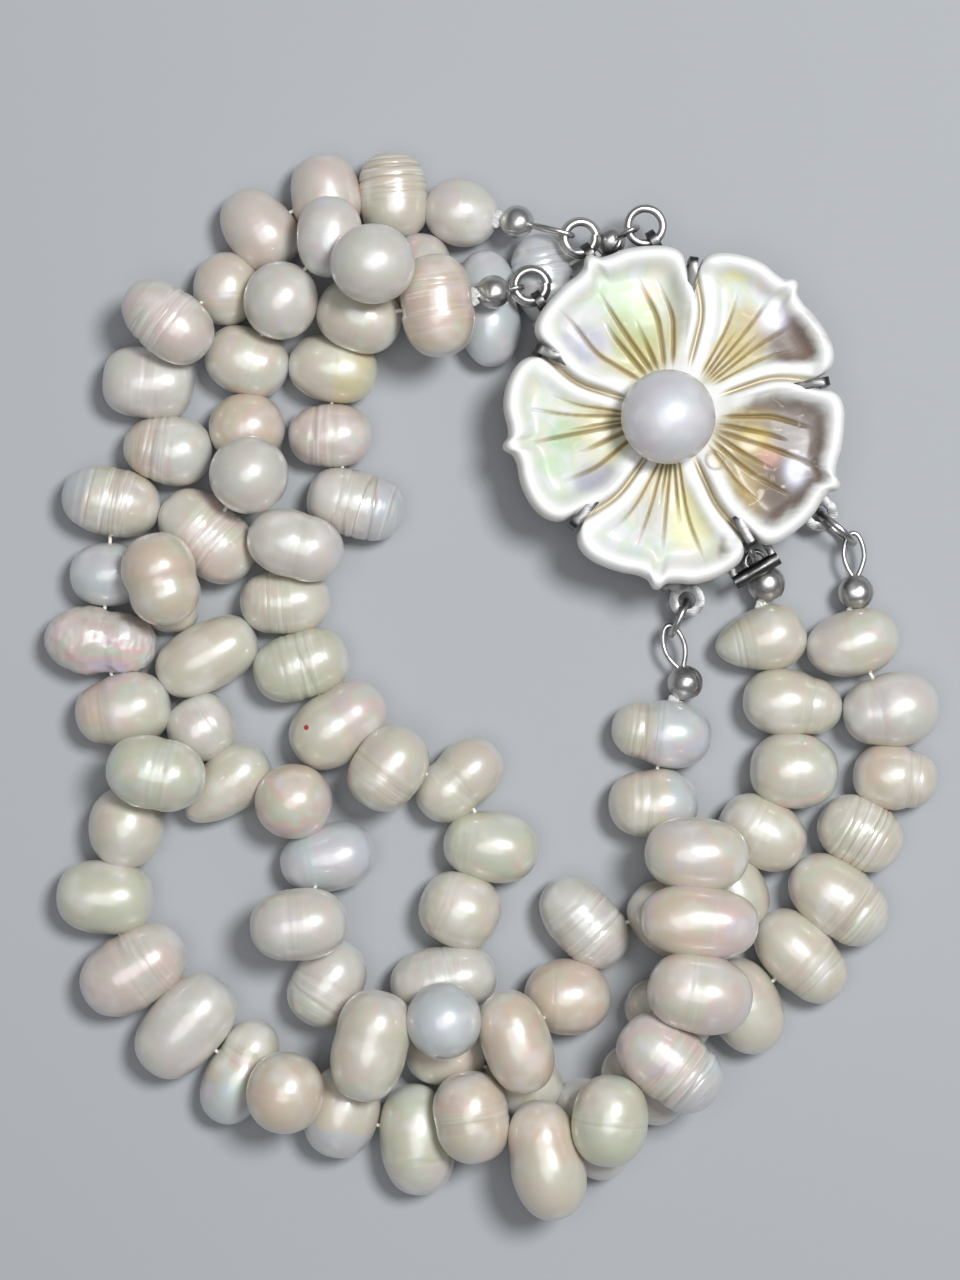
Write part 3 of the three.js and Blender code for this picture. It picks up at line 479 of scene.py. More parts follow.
def start_material(name):
    """An empty material with its Graph and a Principled shader wired to the output."""
    material = bpy.data.materials.new(name)
    material.use_nodes = True
    tree = material.node_tree
    tree.nodes.clear()
    shader = tree.nodes.new("ShaderNodeBsdfPrincipled")
    output = tree.nodes.new("ShaderNodeOutputMaterial")
    tree.links.new(shader.outputs[0], output.inputs["Surface"])
    return material, Graph(tree), shader


def set_shader(graph, shader, **sockets):
    for name, value in sockets.items():
        socket = shader.inputs[name.replace("_", " ").title().replace("Ior", "IOR")]
        if isinstance(value, Value):
            graph.tree.links.new(value.socket, socket)
        else:
            socket.default_value = value


def attribute(graph, name, output="Fac"):
    return graph.node("ShaderNodeAttribute", {"attribute_name": name}, output=output)


def object_coordinates(graph):
    return graph.node("ShaderNodeTexCoord", output="Object")


def ring_bands(graph, spot, reach, centre, rings, seed):
    """How near a place is to a pearl's rings, and how far it is from the nearest crease among them."""
    x, y, _ = graph.parts(spot)
    wide = (reach - centre) / (rings * 0.42 + 0.16)
    turns = graph.node("ShaderNodeCombineXYZ", {}, {0: x * 0.22, 1: y * 0.22, 2: reach * 5.2})
    waver = graph.noise(graph.vector("ADD", turns, seed), 1.0, 0)
    return graph.math("EXPONENT", -(wide * wide)), graph.math("ABSOLUTE", waver - 0.5)


# ------------------------------------------------------------------ materials
PINK = (0.74, 0.46, 0.46)
LILAC = (0.56, 0.50, 0.66)
MINT = (0.50, 0.66, 0.50)
ICE = (0.62, 0.67, 0.74)
SPECK = (-14.4, -7.25, 0.0)


def pearl_material(name, roughness, satin):
    """Nacre: a body colour, patches of overtone, a painted bluish reflection at both ends, growth rings and a
    soft skin.
    """
    material, graph, shader = start_material(name)
    where = object_coordinates(graph)
    spot = attribute(graph, "spot", "Vector")
    body = attribute(graph, "body", "Color")
    flush = attribute(graph, "flush")
    rings = attribute(graph, "rings")
    seed = attribute(graph, "seed", "Vector")
    reach = attribute(graph, "reach")
    x, y, _ = graph.parts(spot)

    cloud = graph.noise(where, 240, 2, 0.6)
    patch = graph.noise(graph.vector("ADD", where, (0.31, 0.12, 0.05)), 230, 1, 0.9)
    cap_from = reach * attribute(graph, "cap_end") + (cloud - 0.5) * 0.5
    gap = cap_from - attribute(graph, "cap_start")
    capped = graph.smooth(gap, -0.10, 0.10)
    overtone = graph.node(
        "ShaderNodeValToRGB",
        {"stops": [(0.30, LILAC), (0.43, PINK), (0.53, MINT), (0.63, ICE), (0.76, PINK)]},
        {0: patch},
    )
    colour = graph.mix(capped * 0.9, body, attribute(graph, "cap_colour", "Color"))
    colour = graph.mix(0.10 + graph.smooth(cloud, 0.38, 0.70) * flush * 0.50, colour, overtone)
    milk = graph.noise(graph.vector("ADD", where, (0.05, 0.41, 0.2)), 330, 2)
    colour = graph.mix(graph.smooth(milk, 0.50, 0.72) * 0.45, colour, rgba((0.78, 0.75, 0.72)))

    near, off_crease = ring_bands(graph, spot, reach, attribute(graph, "place"), rings, seed)
    fine_turns = graph.node("ShaderNodeCombineXYZ", {}, {0: x * 0.4, 1: y * 0.4, 2: reach * 13.0})
    hair = graph.noise(graph.vector("ADD", fine_turns, seed), 1.0, 1)
    crease = graph.smooth(off_crease, 0.07, 0.0) * near * rings
    streak = graph.smooth(hair, 0.54, 0.66) * near * rings
    colour = graph.mix(streak * 0.65, colour, rgba((0.82, 0.80, 0.77)))
    colour = graph.mix(crease * 0.50, colour, rgba((0.36, 0.28, 0.20)))
    # Painted reflection of the bluish room light: both ends of each pearl turn paler and cooler.
    ends = graph.smooth(graph.math("ABSOLUTE", reach), 0.72, 1.0)
    colour = graph.mix(ends * 0.30, colour, rgba(ICE))
    level = graph.vector("MULTIPLY", where, (1.0, 1.0, 0.0))
    speck = graph.node(
        "ShaderNodeVectorMath", {"operation": "DISTANCE"}, {0: level, 1: tuple(place(*SPECK))}, output="Value"
    )
    colour = graph.mix(graph.smooth(speck, 0.00026, 0.00016), colour, rgba((0.45, 0.02, 0.02)))

    grain = graph.noise(where, 1400, 2)
    skin = graph.noise(where, 480, 2, 0.5)
    height = grain * 0.10 + skin * 0.45 + (hair * 0.8 - crease * 0.7) * rings * near
    set_shader(
        graph, shader, base_color=colour, normal=bump(graph, 0.5, 0.00012, height),
        roughness=roughness + milk * 0.14,
        ior=1.95, coat_weight=0.7, coat_roughness=0.17, coat_ior=1.65,
        subsurface_weight=0.25, subsurface_scale=0.0012, subsurface_radius=(1.0, 0.55, 0.30),
        sheen_weight=satin, sheen_roughness=0.35, sheen_tint=rgba((1.0, 0.93, 0.78)),
    )
    return material


def shell_material(clasp):
    """Carved mother-of-pearl: silvery white, with its patches of colour and gold in the cut lines, and
    painted light: a painted shadow of the centre pearl, painted dark reflection on the right petals, a
    painted lamp reflection and painted shade in the cut lines and valleys.
    """
    material, graph, shader = start_material("mother_of_pearl")
    where = object_coordinates(graph)
    vein = attribute(graph, "vein")
    gild = attribute(graph, "gild")
    tint = attribute(graph, "tint", "Color")
    amount = attribute(graph, "amount")
    drift = graph.noise(graph.vector("MULTIPLY", where, (1.0, 1.0, 0.4)), 190, 2, 1.4)
    colours = graph.node(
        "ShaderNodeValToRGB",
        {"stops": [
            (0.30, (0.82, 0.62, 0.56)), (0.40, (0.72, 0.73, 0.76)), (0.49, (0.52, 0.64, 0.40)),
            (0.55, (0.74, 0.66, 0.42)), (0.63, (0.66, 0.70, 0.80)), (0.76, (0.80, 0.58, 0.42)),
        ]},
        {0: drift},
    )
    hollow = attribute(graph, "hollow")
    colour = graph.mix(hollow, rgba((0.93, 0.92, 0.90)), rgba(clasp.nacre))
    colour = graph.mix(0.08 + hollow * 0.36, colour, colours)
    grain = graph.noise(graph.vector("MULTIPLY", where, (1.0, 1.8, 1.0)), 420, 3, 1.5)
    edge = graph.smooth(amount + (drift - 0.5) * 0.8 + (grain - 0.5) * 0.5, 0.05, 0.95)
    # Patches of the shell's own colour, and among them painted light: a painted shadow of the centre pearl,
    # painted dark reflection on the right petals and a painted lamp reflection.
    colour = graph.mix(edge * graph.smooth(amount, 0.02, 0.25), colour, tint)
    colour = graph.mix(edge * graph.smooth(grain, 0.60, 0.74) * 0.5, colour, rgba((0.90, 0.78, 0.62)))
    # Gold beside the cut lines near the middle, and on the groove walls between petals as painted shade of
    # the deep valleys.
    colour = graph.mix(gild * (0.35 + drift * 0.5), colour, rgba((0.66, 0.52, 0.22)))
    # Dark brown in the cut lines and seams: partly the carving's own colour, partly painted shade in these
    # grooves.
    colour = graph.mix(vein, colour, rgba(clasp.cut_colour_and_shade))
    layers = graph.noise(graph.vector("MULTIPLY", where, (0.25, 0.25, 6.0)), 700, 2, 0.4)
    wall = graph.smooth(graph.parts(graph.node("ShaderNodeNewGeometry", output="Normal"))[2], 0.75, 0.25)
    colour = graph.mix(wall * graph.smooth(layers, 0.45, 0.62) * 0.6, colour, rgba((0.72, 0.66, 0.55)))
    fine = graph.noise(where, 900, 2)
    set_shader(
        graph, shader, base_color=colour, normal=bump(graph, 0.25, 0.00008, fine * 0.3 + grain * 0.4),
        roughness=0.26 + grain * 0.12,
        ior=1.44, specular_ior_level=0.3, coat_weight=0.07, coat_roughness=0.12,
    )
    return material


def metal_material(name, tone):
    """Bright plated metal, handled and a little worn."""
    material, graph, shader = start_material(name)
    where = object_coordinates(graph)
    wear = graph.noise(where, 700, 3, 0.5)
    stain = graph.smooth(graph.noise(where, 260, 2), 0.50, 0.72)
    colour = graph.mix(stain * 0.45, rgba(tone), rgba([share * 0.5 for share in tone]))
    scratches = graph.noise(graph.vector("MULTIPLY", where, (1.0, 7.0, 1.0)), 1600, 1)
    dents = graph.noise(where, 620, 1)
    height = dents * 0.00028 + scratches * 0.00001
    set_shader(
        graph, shader, base_color=colour, metallic=1.0, roughness=0.24 + wear * 0.24,
        normal=bump(graph, 0.8, 1.0, height),
    )
    return material


def thread_material():
    """Cream silk."""
    material, graph, shader = start_material("silk_thread")
    twist = graph.noise(object_coordinates(graph), 2600, 2)
    colour = graph.mix(twist, rgba((0.80, 0.74, 0.62)), rgba((0.93, 0.90, 0.82)))
    set_shader(graph, shader, base_color=colour, roughness=0.7, normal=bump(graph, 0.5, 0.00006, twist))
    return material


def glue_material():
    """Clear cement on the knots."""
    material, graph, shader = start_material("knot_cement")
    haze = graph.noise(object_coordinates(graph), 1300, 2)
    colour = graph.mix(haze, rgba((0.80, 0.80, 0.78)), rgba((0.95, 0.94, 0.92)))
    set_shader(
        graph, shader, base_color=colour, roughness=0.15, normal=bump(graph, 0.4, 0.00015, haze),
        transmission_weight=0.35, ior=1.5,
    )
    return material


def table_material(stage):
    """A plain pale table top."""
    material, graph, shader = start_material("table_top")
    mottle = graph.noise(object_coordinates(graph), 12, 3)
    colour = graph.mix(mottle * 0.12, rgba(stage.floor), rgba([c * 0.9 for c in stage.floor]))
    set_shader(graph, shader, base_color=colour, roughness=0.75)
    return material


# ------------------------------------------------------------------ meshes
def new_object(name, mesh):
    piece = bpy.data.objects.new(name, mesh)
    bpy.context.scene.collection.objects.link(piece)
    return piece


def mesh_piece(name, points, faces, material, smooth=True):
    mesh = bpy.data.meshes.new(name)
    mesh.from_pydata(points, [], faces)
    mesh.materials.append(material)
    if smooth:
        mesh.shade_smooth()
    mesh.update()
    return new_object(name, mesh)


def smooth_mesh(name, work, material):
    """The smooth mesh of a finished bmesh."""
    mesh = bpy.data.meshes.new(name)
    work.to_mesh(mesh)
    work.free()
    mesh.materials.append(material)
    mesh.shade_smooth()
    return mesh


def store(mesh, name, values, kind="FLOAT"):
    """Adds a point attribute."""
    layer = mesh.attributes.new(name, kind, "POINT")
    field = "value" if kind == "FLOAT" else "vector"
    flat = values if kind == "FLOAT" else [number for value in values for number in value]
    layer.data.foreach_set(field, flat)


def outward(mesh):
    """Merges doubles and turns all faces outwards."""
    work = bmesh.new()
    work.from_mesh(mesh)
    bmesh.ops.remove_doubles(work, verts=work.verts, dist=1e-7)
    bmesh.ops.recalc_face_normals(work, faces=work.faces)
    work.to_mesh(mesh)
    work.free()
    mesh.update()


def bake(piece):
    """Turns a piece's modifiers into its plain mesh."""
    graph = bpy.context.evaluated_depsgraph_get()
    mesh = bpy.data.meshes.new_from_object(
        piece.evaluated_get(graph), preserve_all_data_layers=True, depsgraph=graph
    )
    piece.modifiers.clear()
    piece.data = mesh
    mesh.name = piece.name
    return piece


def ride(piece, slot, *nodes):
    """The piece belongs to the bracelet's one body, and stands for these nodes."""
    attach(piece, "root")
    if nodes:
        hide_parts(*nodes)
    return piece


# ------------------------------------------------------------------ geometry trees
def start_tree(name, inputs):
    """A geometry tree with a Geometry input and the named inputs; returns it with its input values."""
    tree = bpy.data.node_groups.new(name, "GeometryNodeTree")
    tree.interface.new_socket("Geometry", in_out="INPUT", socket_type="NodeSocketGeometry")
    for label, kind, default in inputs:
        socket = tree.interface.new_socket(label, in_out="INPUT", socket_type=kind)
        if default is not None:
            socket.default_value = default
    tree.interface.new_socket("Geometry", in_out="OUTPUT", socket_type="NodeSocketGeometry")
    graph = Graph(tree)
    source = tree.nodes.new("NodeGroupInput")
    return graph, {socket.name: Value(graph, socket) for socket in source.outputs if socket.name}


def run_tree(piece, graph, values):
    """Gives a piece the tree as a modifier with these inputs, and bakes it."""
    modifier = piece.modifiers.new(graph.tree.name, "NODES")
    modifier.node_group = graph.tree
    for item in graph.tree.interface.items_tree:
        if item.in_out == "INPUT" and item.name in values:
            modifier[item.identifier] = values[item.name]
    return bake(piece)


def close_tree(graph, geometry, material, attributes=()):
    """Shades smooth, keeps the attributes and gives the material; the tree ends here."""
    smooth = graph.node("GeometryNodeSetShadeSmooth", {}, {"Geometry": geometry})
    whole = graph.node("GeometryNodeRealizeInstances", {}, {"Geometry": smooth})
    for name, value in attributes:
        sockets = {"Geometry": whole, "Name": name, "Value": value}
        whole = graph.node("GeometryNodeStoreNamedAttribute", {"data_type": "FLOAT"}, sockets)
    painted = graph.node("GeometryNodeSetMaterial", {}, {"Geometry": whole, "Material": material})
    graph.node("NodeGroupOutput", {}, {"Geometry": painted})
    return graph


def named(graph, name, kind="FLOAT"):
    return graph.node("GeometryNodeInputNamedAttribute", {"data_type": kind}, {"Name": name})


def pearl_tree():
    """One pearl at each point: a round-ended bead with its own taper, waist, rings and lumps."""
    graph, given = start_tree("pearls_on_points", [
        ("Segments", "NodeSocketInt", 48),
        ("Steps", "NodeSocketInt", 80),
        ("Ring Depth", "NodeSocketFloat", 0.045),
        ("Lump Depth", "NodeSocketFloat", 0.07),
        ("Material", "NodeSocketMaterial", None),
    ])
    ball = graph.node(
        "GeometryNodeMeshUVSphere", {},
        {"Segments": given["Segments"], "Rings": given["Steps"], "Radius": 1.0},
    )
    position = graph.node("GeometryNodeInputPosition")
    ball = graph.node(
        "GeometryNodeStoreNamedAttribute", {"data_type": "FLOAT_VECTOR"},
        {"Geometry": ball, "Name": "spot", "Value": position},
    )
    placed = graph.node("GeometryNodeInstanceOnPoints", {}, {"Points": given["Geometry"], "Instance": ball})
    solid = graph.node("GeometryNodeRealizeInstances", {}, {"Geometry": placed})

    spot = named(graph, "spot", "FLOAT_VECTOR")
    x, y, t = graph.parts(spot)
    rho = graph.math("MAXIMUM", graph.math("SQRT", x * x + y * y), 1e-4)
    bulge = graph.math("DIVIDE", 2.0, named(graph, "round"))
    reach = graph.math("SIGN", t) * graph.math("ABSOLUTE", t) ** bulge
    width = rho ** (bulge - 1.0)

    centre = named(graph, "place")
    taper = named(graph, "taper")
    gap = (reach - centre) / 0.22
    waist = named(graph, "waist") * graph.math("EXPONENT", -(gap * gap))
    narrow = graph.math("ABSOLUTE", taper) * (graph.math("SIGN", taper) * reach + 1.0) * 0.5
    seed = named(graph, "seed", "FLOAT_VECTOR")
    wander = graph.noise(graph.vector("ADD", spot, seed), 1.1, 1)
    wrinkle = graph.noise(graph.vector("ADD", spot, seed), 5.5, 1)
    lump = named(graph, "lump")
    rough = graph.math("MAXIMUM", lump - 1.0, 0.0)
    lumps = ((wander - 0.5) * lump + (wrinkle - 0.5) * rough * 1.1) * given["Lump Depth"]
    rings = named(graph, "rings")
    near, off_crease = ring_bands(graph, spot, reach, centre, rings, seed)
    ripple = (0.35 - graph.smooth(off_crease, 0.11, 0.0)) * rings * near * given["Ring Depth"]
    profile = (1.0 - narrow) * (graph.math("ABSOLUTE", taper) * 0.40 + 1.0) - waist + lumps + ripple

    half_width = named(graph, "half_width")
    half_length = named(graph, "half_length")
    across = half_width * width * profile
    shape = graph.vector(
        "ADD",
        graph.scale(named(graph, "along", "FLOAT_VECTOR"), half_length * reach * (1.0 + lumps * 0.3)),
        graph.vector(
            "ADD",
            graph.scale(named(graph, "side", "FLOAT_VECTOR"), across * x),
            graph.scale(named(graph, "up", "FLOAT_VECTOR"), across * y),
        ),
    )
    moved = graph.node(
        "GeometryNodeSetPosition", {}, {"Geometry": solid, "Offset": graph.vector("SUBTRACT", shape, spot)}
    )
    return close_tree(graph, moved, given["Material"], [("reach", reach)])


def wire_tree():
    """Round wire along the edges of a mesh, closed where they close."""
    graph, given = start_tree("wire_on_path", [
        ("Radius", "NodeSocketFloat", 0.0003),
        ("Sides", "NodeSocketInt", 12),
        ("Material", "NodeSocketMaterial", None),
    ])
    curve = graph.node("GeometryNodeMeshToCurve", {}, {"Mesh": given["Geometry"]})
    profile = graph.node(
        "GeometryNodeCurvePrimitiveCircle", {}, {"Resolution": given["Sides"], "Radius": given["Radius"]}
    )
    tube = graph.node(
        "GeometryNodeCurveToMesh", {}, {"Curve": curve, "Profile Curve": profile, "Fill Caps": True}
    )
    return close_tree(graph, tube, given["Material"])


def wire_piece(name, graph, paths, radius, sides, material):
    """Wires along (points, closed) paths, as one mesh."""
    points, edges = [], []
    for path, closed in paths:
        start = len(points)
        points.extend(path)
        edges.extend((start + i, start + i + 1) for i in range(len(path) - 1))
        if closed:
            edges.append((start + len(path) - 1, start))
    mesh = bpy.data.meshes.new(name)
    mesh.from_pydata([tuple(point) for point in points], edges, [])
    piece = new_object(name, mesh)
    run_tree(piece, graph, {"Radius": radius, "Sides": sides, "Material": material})
    outward(piece.data)
    return piece


# ------------------------------------------------------------------ pearls
def read_pearls():
    pearls = []
    for name, rows, run in STRANDS:
        solids = len(rows) // run
        for index, pearl in enumerate(read_table(PEARL_COLUMNS, rows)):
            pearl["length"] -= PEARL_SKIN
            pearl["width"] -= PEARL_SKIN
            pearl["angle"] = math.radians(pearl["turn"])
            pearl["core"] = (pearl["length"] - pearl["width"]) / 2
            pearl["index"] = index
            pearl["solid"] = f"{name}_{min(index // run, solids - 1) + 1}"
            pearl["strand"] = name
            pearl["plump"] = PLUMP
            pearl["cap"] = CAPS[name].get(index + 1, (pearl["body"], 0, 1))
            pearl["tilt"] = 90 if (name, index + 1) in END_ON else 0
            pearls.append(pearl)
    return pearls


def between(p, q):
    """Offset and distance between the core lines of two pearls, each seen as a rod with round ends."""
    ux, uy = math.cos(p["angle"]), math.sin(p["angle"])
    vx, vy = math.cos(q["angle"]), math.sin(q["angle"])
    wx, wy = q["x"] - p["x"], q["y"] - p["y"]
    s = t = 0.0
    for _ in range(CORE_STEPS):
        s = max(-p["core"], min(p["core"], (wx + t * vx) * ux + (wy + t * vy) * uy))
        t = max(-q["core"], min(q["core"], -((wx - s * ux) * vx + (wy - s * uy) * vy)))
    dx, dy, dz = wx + t * vx - s * ux, wy + t * vy - s * uy, q["z"] - p["z"]
    return dx, dy, dz, math.sqrt(dx * dx + dy * dy + dz * dz)


def settle(pearls):
    """The pearls sink slowly, stay near their place and push each other apart."""
    for p in pearls:
        p["z"] = p["width"] / 2 + LAYER_RISE * p["layer"] + ODD_RISE * (p["index"] % 2)
        p["home"] = (p["x"], p["y"])
    pairs = []
    for i, p in enumerate(pearls):
        for q in pearls[i + 1:]:
            if math.hypot(p["x"] - q["x"], p["y"] - q["y"]) < FAR:
                joined = p["solid"] == q["solid"] and abs(p["index"] - q["index"]) == 1
                pairs.append((p, q, (p["width"] + q["width"]) / 2 + (-NEST if joined else SOLID_GAP)))
    for turn in range(SETTLE_ROUNDS):
        if turn < SETTLE_ROUNDS - QUIET_ROUNDS:
            for p in pearls:
                p["x"] += HOME_PULL * (p["home"][0] - p["x"])
                p["y"] += HOME_PULL * (p["home"][1] - p["y"])
                p["z"] -= SINK_STEP
        for p, q, reach in pairs:
            dx, dy, dz, distance = between(p, q)
            if distance < reach:
                push = (reach - distance) / 2 / distance
                for axis, step in zip("xyz", (dx * push, dy * push, dz * push)):
                    p[axis] -= step
                    q[axis] += step
        for p in pearls:
            p["z"] = max(p["z"], p["width"] / 2)
    return pearls


def pearl_points(name, pearls, colours):
    """A mesh of one point for each pearl, with what the tree needs to shape it."""
    mesh = bpy.data.meshes.new(name)
    mesh.from_pydata([tuple(place(p["x"], p["y"], p["z"])) for p in pearls], [], [])
    axes = []
    for p in pearls:
        upright = math.radians(p["tilt"])
        flat = Vector((math.cos(p["angle"]), math.sin(p["angle"]), 0))
        along = flat * math.cos(upright) + Vector((0, 0, math.sin(upright)))
        side = Vector((-math.sin(p["angle"]), math.cos(p["angle"]), 0))
        axes.append((along, side, along.cross(side)))
    for column, label in enumerate(("along", "side", "up")):
        store(mesh, label, [axis[column] for axis in axes], "FLOAT_VECTOR")
    store(mesh, "seed", [(p["index"] * 3.1, p["x"], p["y"] * 0.7) for p in pearls], "FLOAT_VECTOR")
    store(mesh, "body", [tuple(colours[p["body"]]) for p in pearls], "FLOAT_VECTOR")
    caps = [p["cap"] for p in pearls]
    store(mesh, "cap_colour", [tuple(colours[cap[0]]) for cap in caps], "FLOAT_VECTOR")
    store(mesh, "cap_end", [cap[1] for cap in caps])
    store(mesh, "cap_start", [cap[2] for cap in caps])
    for label in ("round", "taper", "waist", "place", "rings", "lump", "flush"):
        store(mesh, label, [p[label] for p in pearls])
    store(mesh, "half_length", [p["length"] * p["plump"] / 2 * MM for p in pearls])
    store(mesh, "half_width", [p["width"] * p["plump"] / 2 * MM for p in pearls])
    return new_object(name, mesh)


class BRACELET_OT_pearls(bpy.types.Operator):
    """Strings the pearls of the three strands"""

    bl_idname = "bracelet.pearls"
    bl_label = "Pearls"

    def execute(self, context):
        settings = context.scene.bracelet_pearls
        names = ("cream", "white", "rose", "peach", "green", "cool", "gold")
        colours = {name: getattr(settings, name) for name in names}
        tree = pearl_tree()
        material = pearl_material("pearl_nacre", 0.28, 0.10)
        inputs = {"Segments": settings.segments, "Steps": settings.steps, "Material": material}
        pearls = settle(read_pearls())
        for solid in sorted({p["solid"] for p in pearls}):
            run = [p for p in pearls if p["solid"] == solid]
            piece = pearl_points(f"{solid}_pearls", run, colours)
            run_tree(piece, tree, inputs)
            ride(piece, "pearl", solid)
        return {"FINISHED"}


def strand_paths(pearls):
    """For each strand, its letter, its two bead tips and the path of its thread from one to the other."""
    tips = {tip["name"][-2:]: tip for tip in read_table(TIP_COLUMNS, TIPS)}
    for letter in "abc":
        run = [p for p in pearls if p["strand"].endswith(letter)]
        ends = tips[letter + "1"], tips[letter + "2"]
        yield letter, ends, [place(p["x"], p["y"], p["z"]) for p in (ends[0], *run, ends[1])]


class BRACELET_OT_threads(bpy.types.Operator):
    """Draws the silk that shows between the pearls"""

    bl_idname = "bracelet.threads"
    bl_label = "Threads"

    def execute(self, context):
        radius = context.scene.bracelet_pearls.thread_radius
        silk = thread_material()
        tree = wire_tree()
        for letter, _, path in strand_paths(settle(read_pearls())):
            ride(wire_piece(f"thread_{letter}", tree, [(path, False)], radius, 8, silk), "pearl")
        return {"FINISHED"}


def knot_blobs(tip, pearl, radius):
    """Places and sizes of the cement drops between a bead tip and its first pearl."""
    along = (pearl - tip).normalized()
    side = along.cross(Vector((0, 0, 1))).normalized()
    start = tip + along * radius * MM
    return [
        (start + along * 0.25 * MM + side * 0.35 * MM, 0.42 * MM),
        (start + along * 0.35 * MM - side * 0.40 * MM, 0.36 * MM),
        (start + along * 0.60 * MM + side * 0.05 * MM, 0.45 * MM),
    ]


def blob_piece(name, blobs, material):
    """Small lumpy drops joined in one mesh."""
    work = bmesh.new()
    for centre, radius in blobs:
        made = bmesh.ops.create_icosphere(work, subdivisions=3, radius=radius)["verts"]
        for vert in made:
            lump = 1 + 0.14 * math.sin(vert.co.x / radius * 3 + vert.co.y / radius * 4) + 0.1 * math.sin(
                vert.co.z / radius * 5
            )
            vert.co = vert.co * lump + centre
    return new_object(name, smooth_mesh(name, work, material))


class BRACELET_OT_knots(bpy.types.Operator):
    """Sets the cemented knots at the ends of the strands"""

    bl_idname = "bracelet.knots"
    bl_label = "Knots"

    def execute(self, context):
        glue = glue_material()
        for letter, ends, path in strand_paths(settle(read_pearls())):
            knots = (path[0], path[1], ends[0]), (path[-1], path[-2], ends[1])
            for number, (tip_place, pearl_place, tip) in enumerate(knots, 1):
                blobs = knot_blobs(tip_place, pearl_place, tip["radius"])
                ride(blob_piece(f"knot_{letter}{number}", blobs, glue), "pearl")
        return {"FINISHED"}


# ------------------------------------------------------------------ flower
def smoothstep(value, low, high):
    share = max(0.0, min(1.0, (value - low) / (high - low)))
    return share * share * (3 - 2 * share)


def petal_turn(angle, radius=99.0):
    """Signed angle from the middle of the petal that holds a place, and that petal's number."""
    step = 2 * math.pi / PETALS
    seam = (angle - math.radians(CUSP_ANGLE) + step / 2) / step
    before = round(seam)
    share = 1 - 2 * abs(seam - before)
    swing = 1 - smoothstep(radius, 7.0, 12.5) + 0.04 * max(0.0, 7.0 - radius)
    bend = math.radians(SEAM_BENDS[before % PETALS]) * 1.3 * share * swing
    from_first = angle - bend - math.radians(CUSP_ANGLE) + step / 2
    number = math.floor(from_first / step)
    return from_first - number * step - step / 2, number % PETALS


def petal_outline(angle):
    """Reach of the flower at an angle: broad lobes, a small point in the middle, a notch at each side."""
    turn, number = petal_turn(angle)
    side = abs(turn) / (math.pi / PETALS)
    flank = math.sqrt(1 - min(side / SHELL["notch_side"], 1) ** 6)
    point = SHELL["point"] * math.exp(-((side / SHELL["point_side"]) ** 3))
    dip = SHELL["dip"] * math.exp(-(((side - SHELL["dip_side"]) / 0.10) ** 2))
    wave = 0.16 * math.sin(turn * 9 + number * 2.1)
    return SHELL["notch"] + (SHELL["radius"] - SHELL["notch"] + wave) * flank + point - dip


def vein_at(radius, turn, number):
    """The fan of cut lines at a place of a petal: depth from 0 to 1, and the gilding beside them."""
    out, across = radius * math.cos(turn), radius * math.sin(turn)
    deepest = gilding = 0.0
    for index, vein in enumerate(VEIN_ROWS):
        run = out - 4.2
        swing = 0.05 * math.sin(number * 1.7 + index * 2.3)
        line = vein["start"] + (vein["spread"] + swing) * run + vein["bend"] * run * run
        end = vein["end"] + 0.8 * math.sin(number * 2.9 + index)
        fade = smoothstep(out, 3.2, 4.6) * smoothstep(end - out, 0.0, 3.0)
        gap = abs(across - line)
        deepest = max(deepest, fade * max(0.0, 1 - gap / (VEIN_HALF * (0.45 + 0.55 * fade))))
        gilding = max(gilding, fade * math.exp(-((gap / 0.42) ** 2)) * (1 - smoothstep(radius, 5.5, 11.0)))
    return deepest, gilding


VEIN_ROWS = read_table(VEIN_COLUMNS, VEINS)
TINT_AND_PAINTED_LIGHT_ROWS = read_table(TINT_COLUMNS, TINTS_AND_PAINTED_LIGHT)


def shell_point(radius, angle):
    """A place of the carved top: its height in millimetres and the shares of cut, gold with painted valley
    shade, and hollow.
    """
    turn, number = petal_turn(angle, radius)
    half_step = math.pi / PETALS
    edge = petal_outline(angle) - radius
    groove = radius * math.sin(half_step - abs(turn)) - SHELL["groove_half"]
    blend = SHELL["blend"]
    near = -blend * math.log(math.exp(-edge / blend) + math.exp(-max(groove, -3.0) / blend))
    clockwise, other = PETAL_SIDES[number]
    lap = clockwise + (other - clockwise) * smoothstep(turn, -0.15, 0.15)
    lap = 1 - (1 - lap) * smoothstep(edge - groove, -0.6, 1.2)
    rim = math.exp(-(((near - SHELL["rim_at"]) / SHELL["rim_width"]) ** 2))
    height = SHELL["dish"] + (SHELL["rim"] - SHELL["dish"]) * rim * lap * smoothstep(radius, 2.5, 7.0)
    height += 0.30 * math.exp(-((turn / 0.25) ** 2)) * smoothstep(radius, 5, 8) * smoothstep(edge, 1.0, 3.5)
    height -= 0.6 * (1 - math.sqrt(1 - (1 - min(1.0, edge / 0.6)) ** 2))
    wall = (1 - smoothstep(groove, -0.12, 0.34)) * smoothstep(radius, 3.5, 5.0)
    height += (min(SHELL["groove"], height) - height) * wall
    vein, gild = vein_at(radius, turn, number)
    height -= VEIN_DEPTH * vein
    inner = smoothstep(radius, 2.5, 5.0)
    height = SHELL["seat"] * (1 - inner) + height * inner
    # Painted shade in the valleys between petals: a dark line along each seam, and a gold tone on the groove
    # walls.
    line = math.exp(-(((groove - 0.02) / 0.10) ** 2)) * smoothstep(radius, 3.5, 5.0)
    cut = max(vein * 0.95, line * 0.8)
    gild = max(gild, wall * 0.8)
    return height, cut, gild, smoothstep(near, 1.0, 2.0)


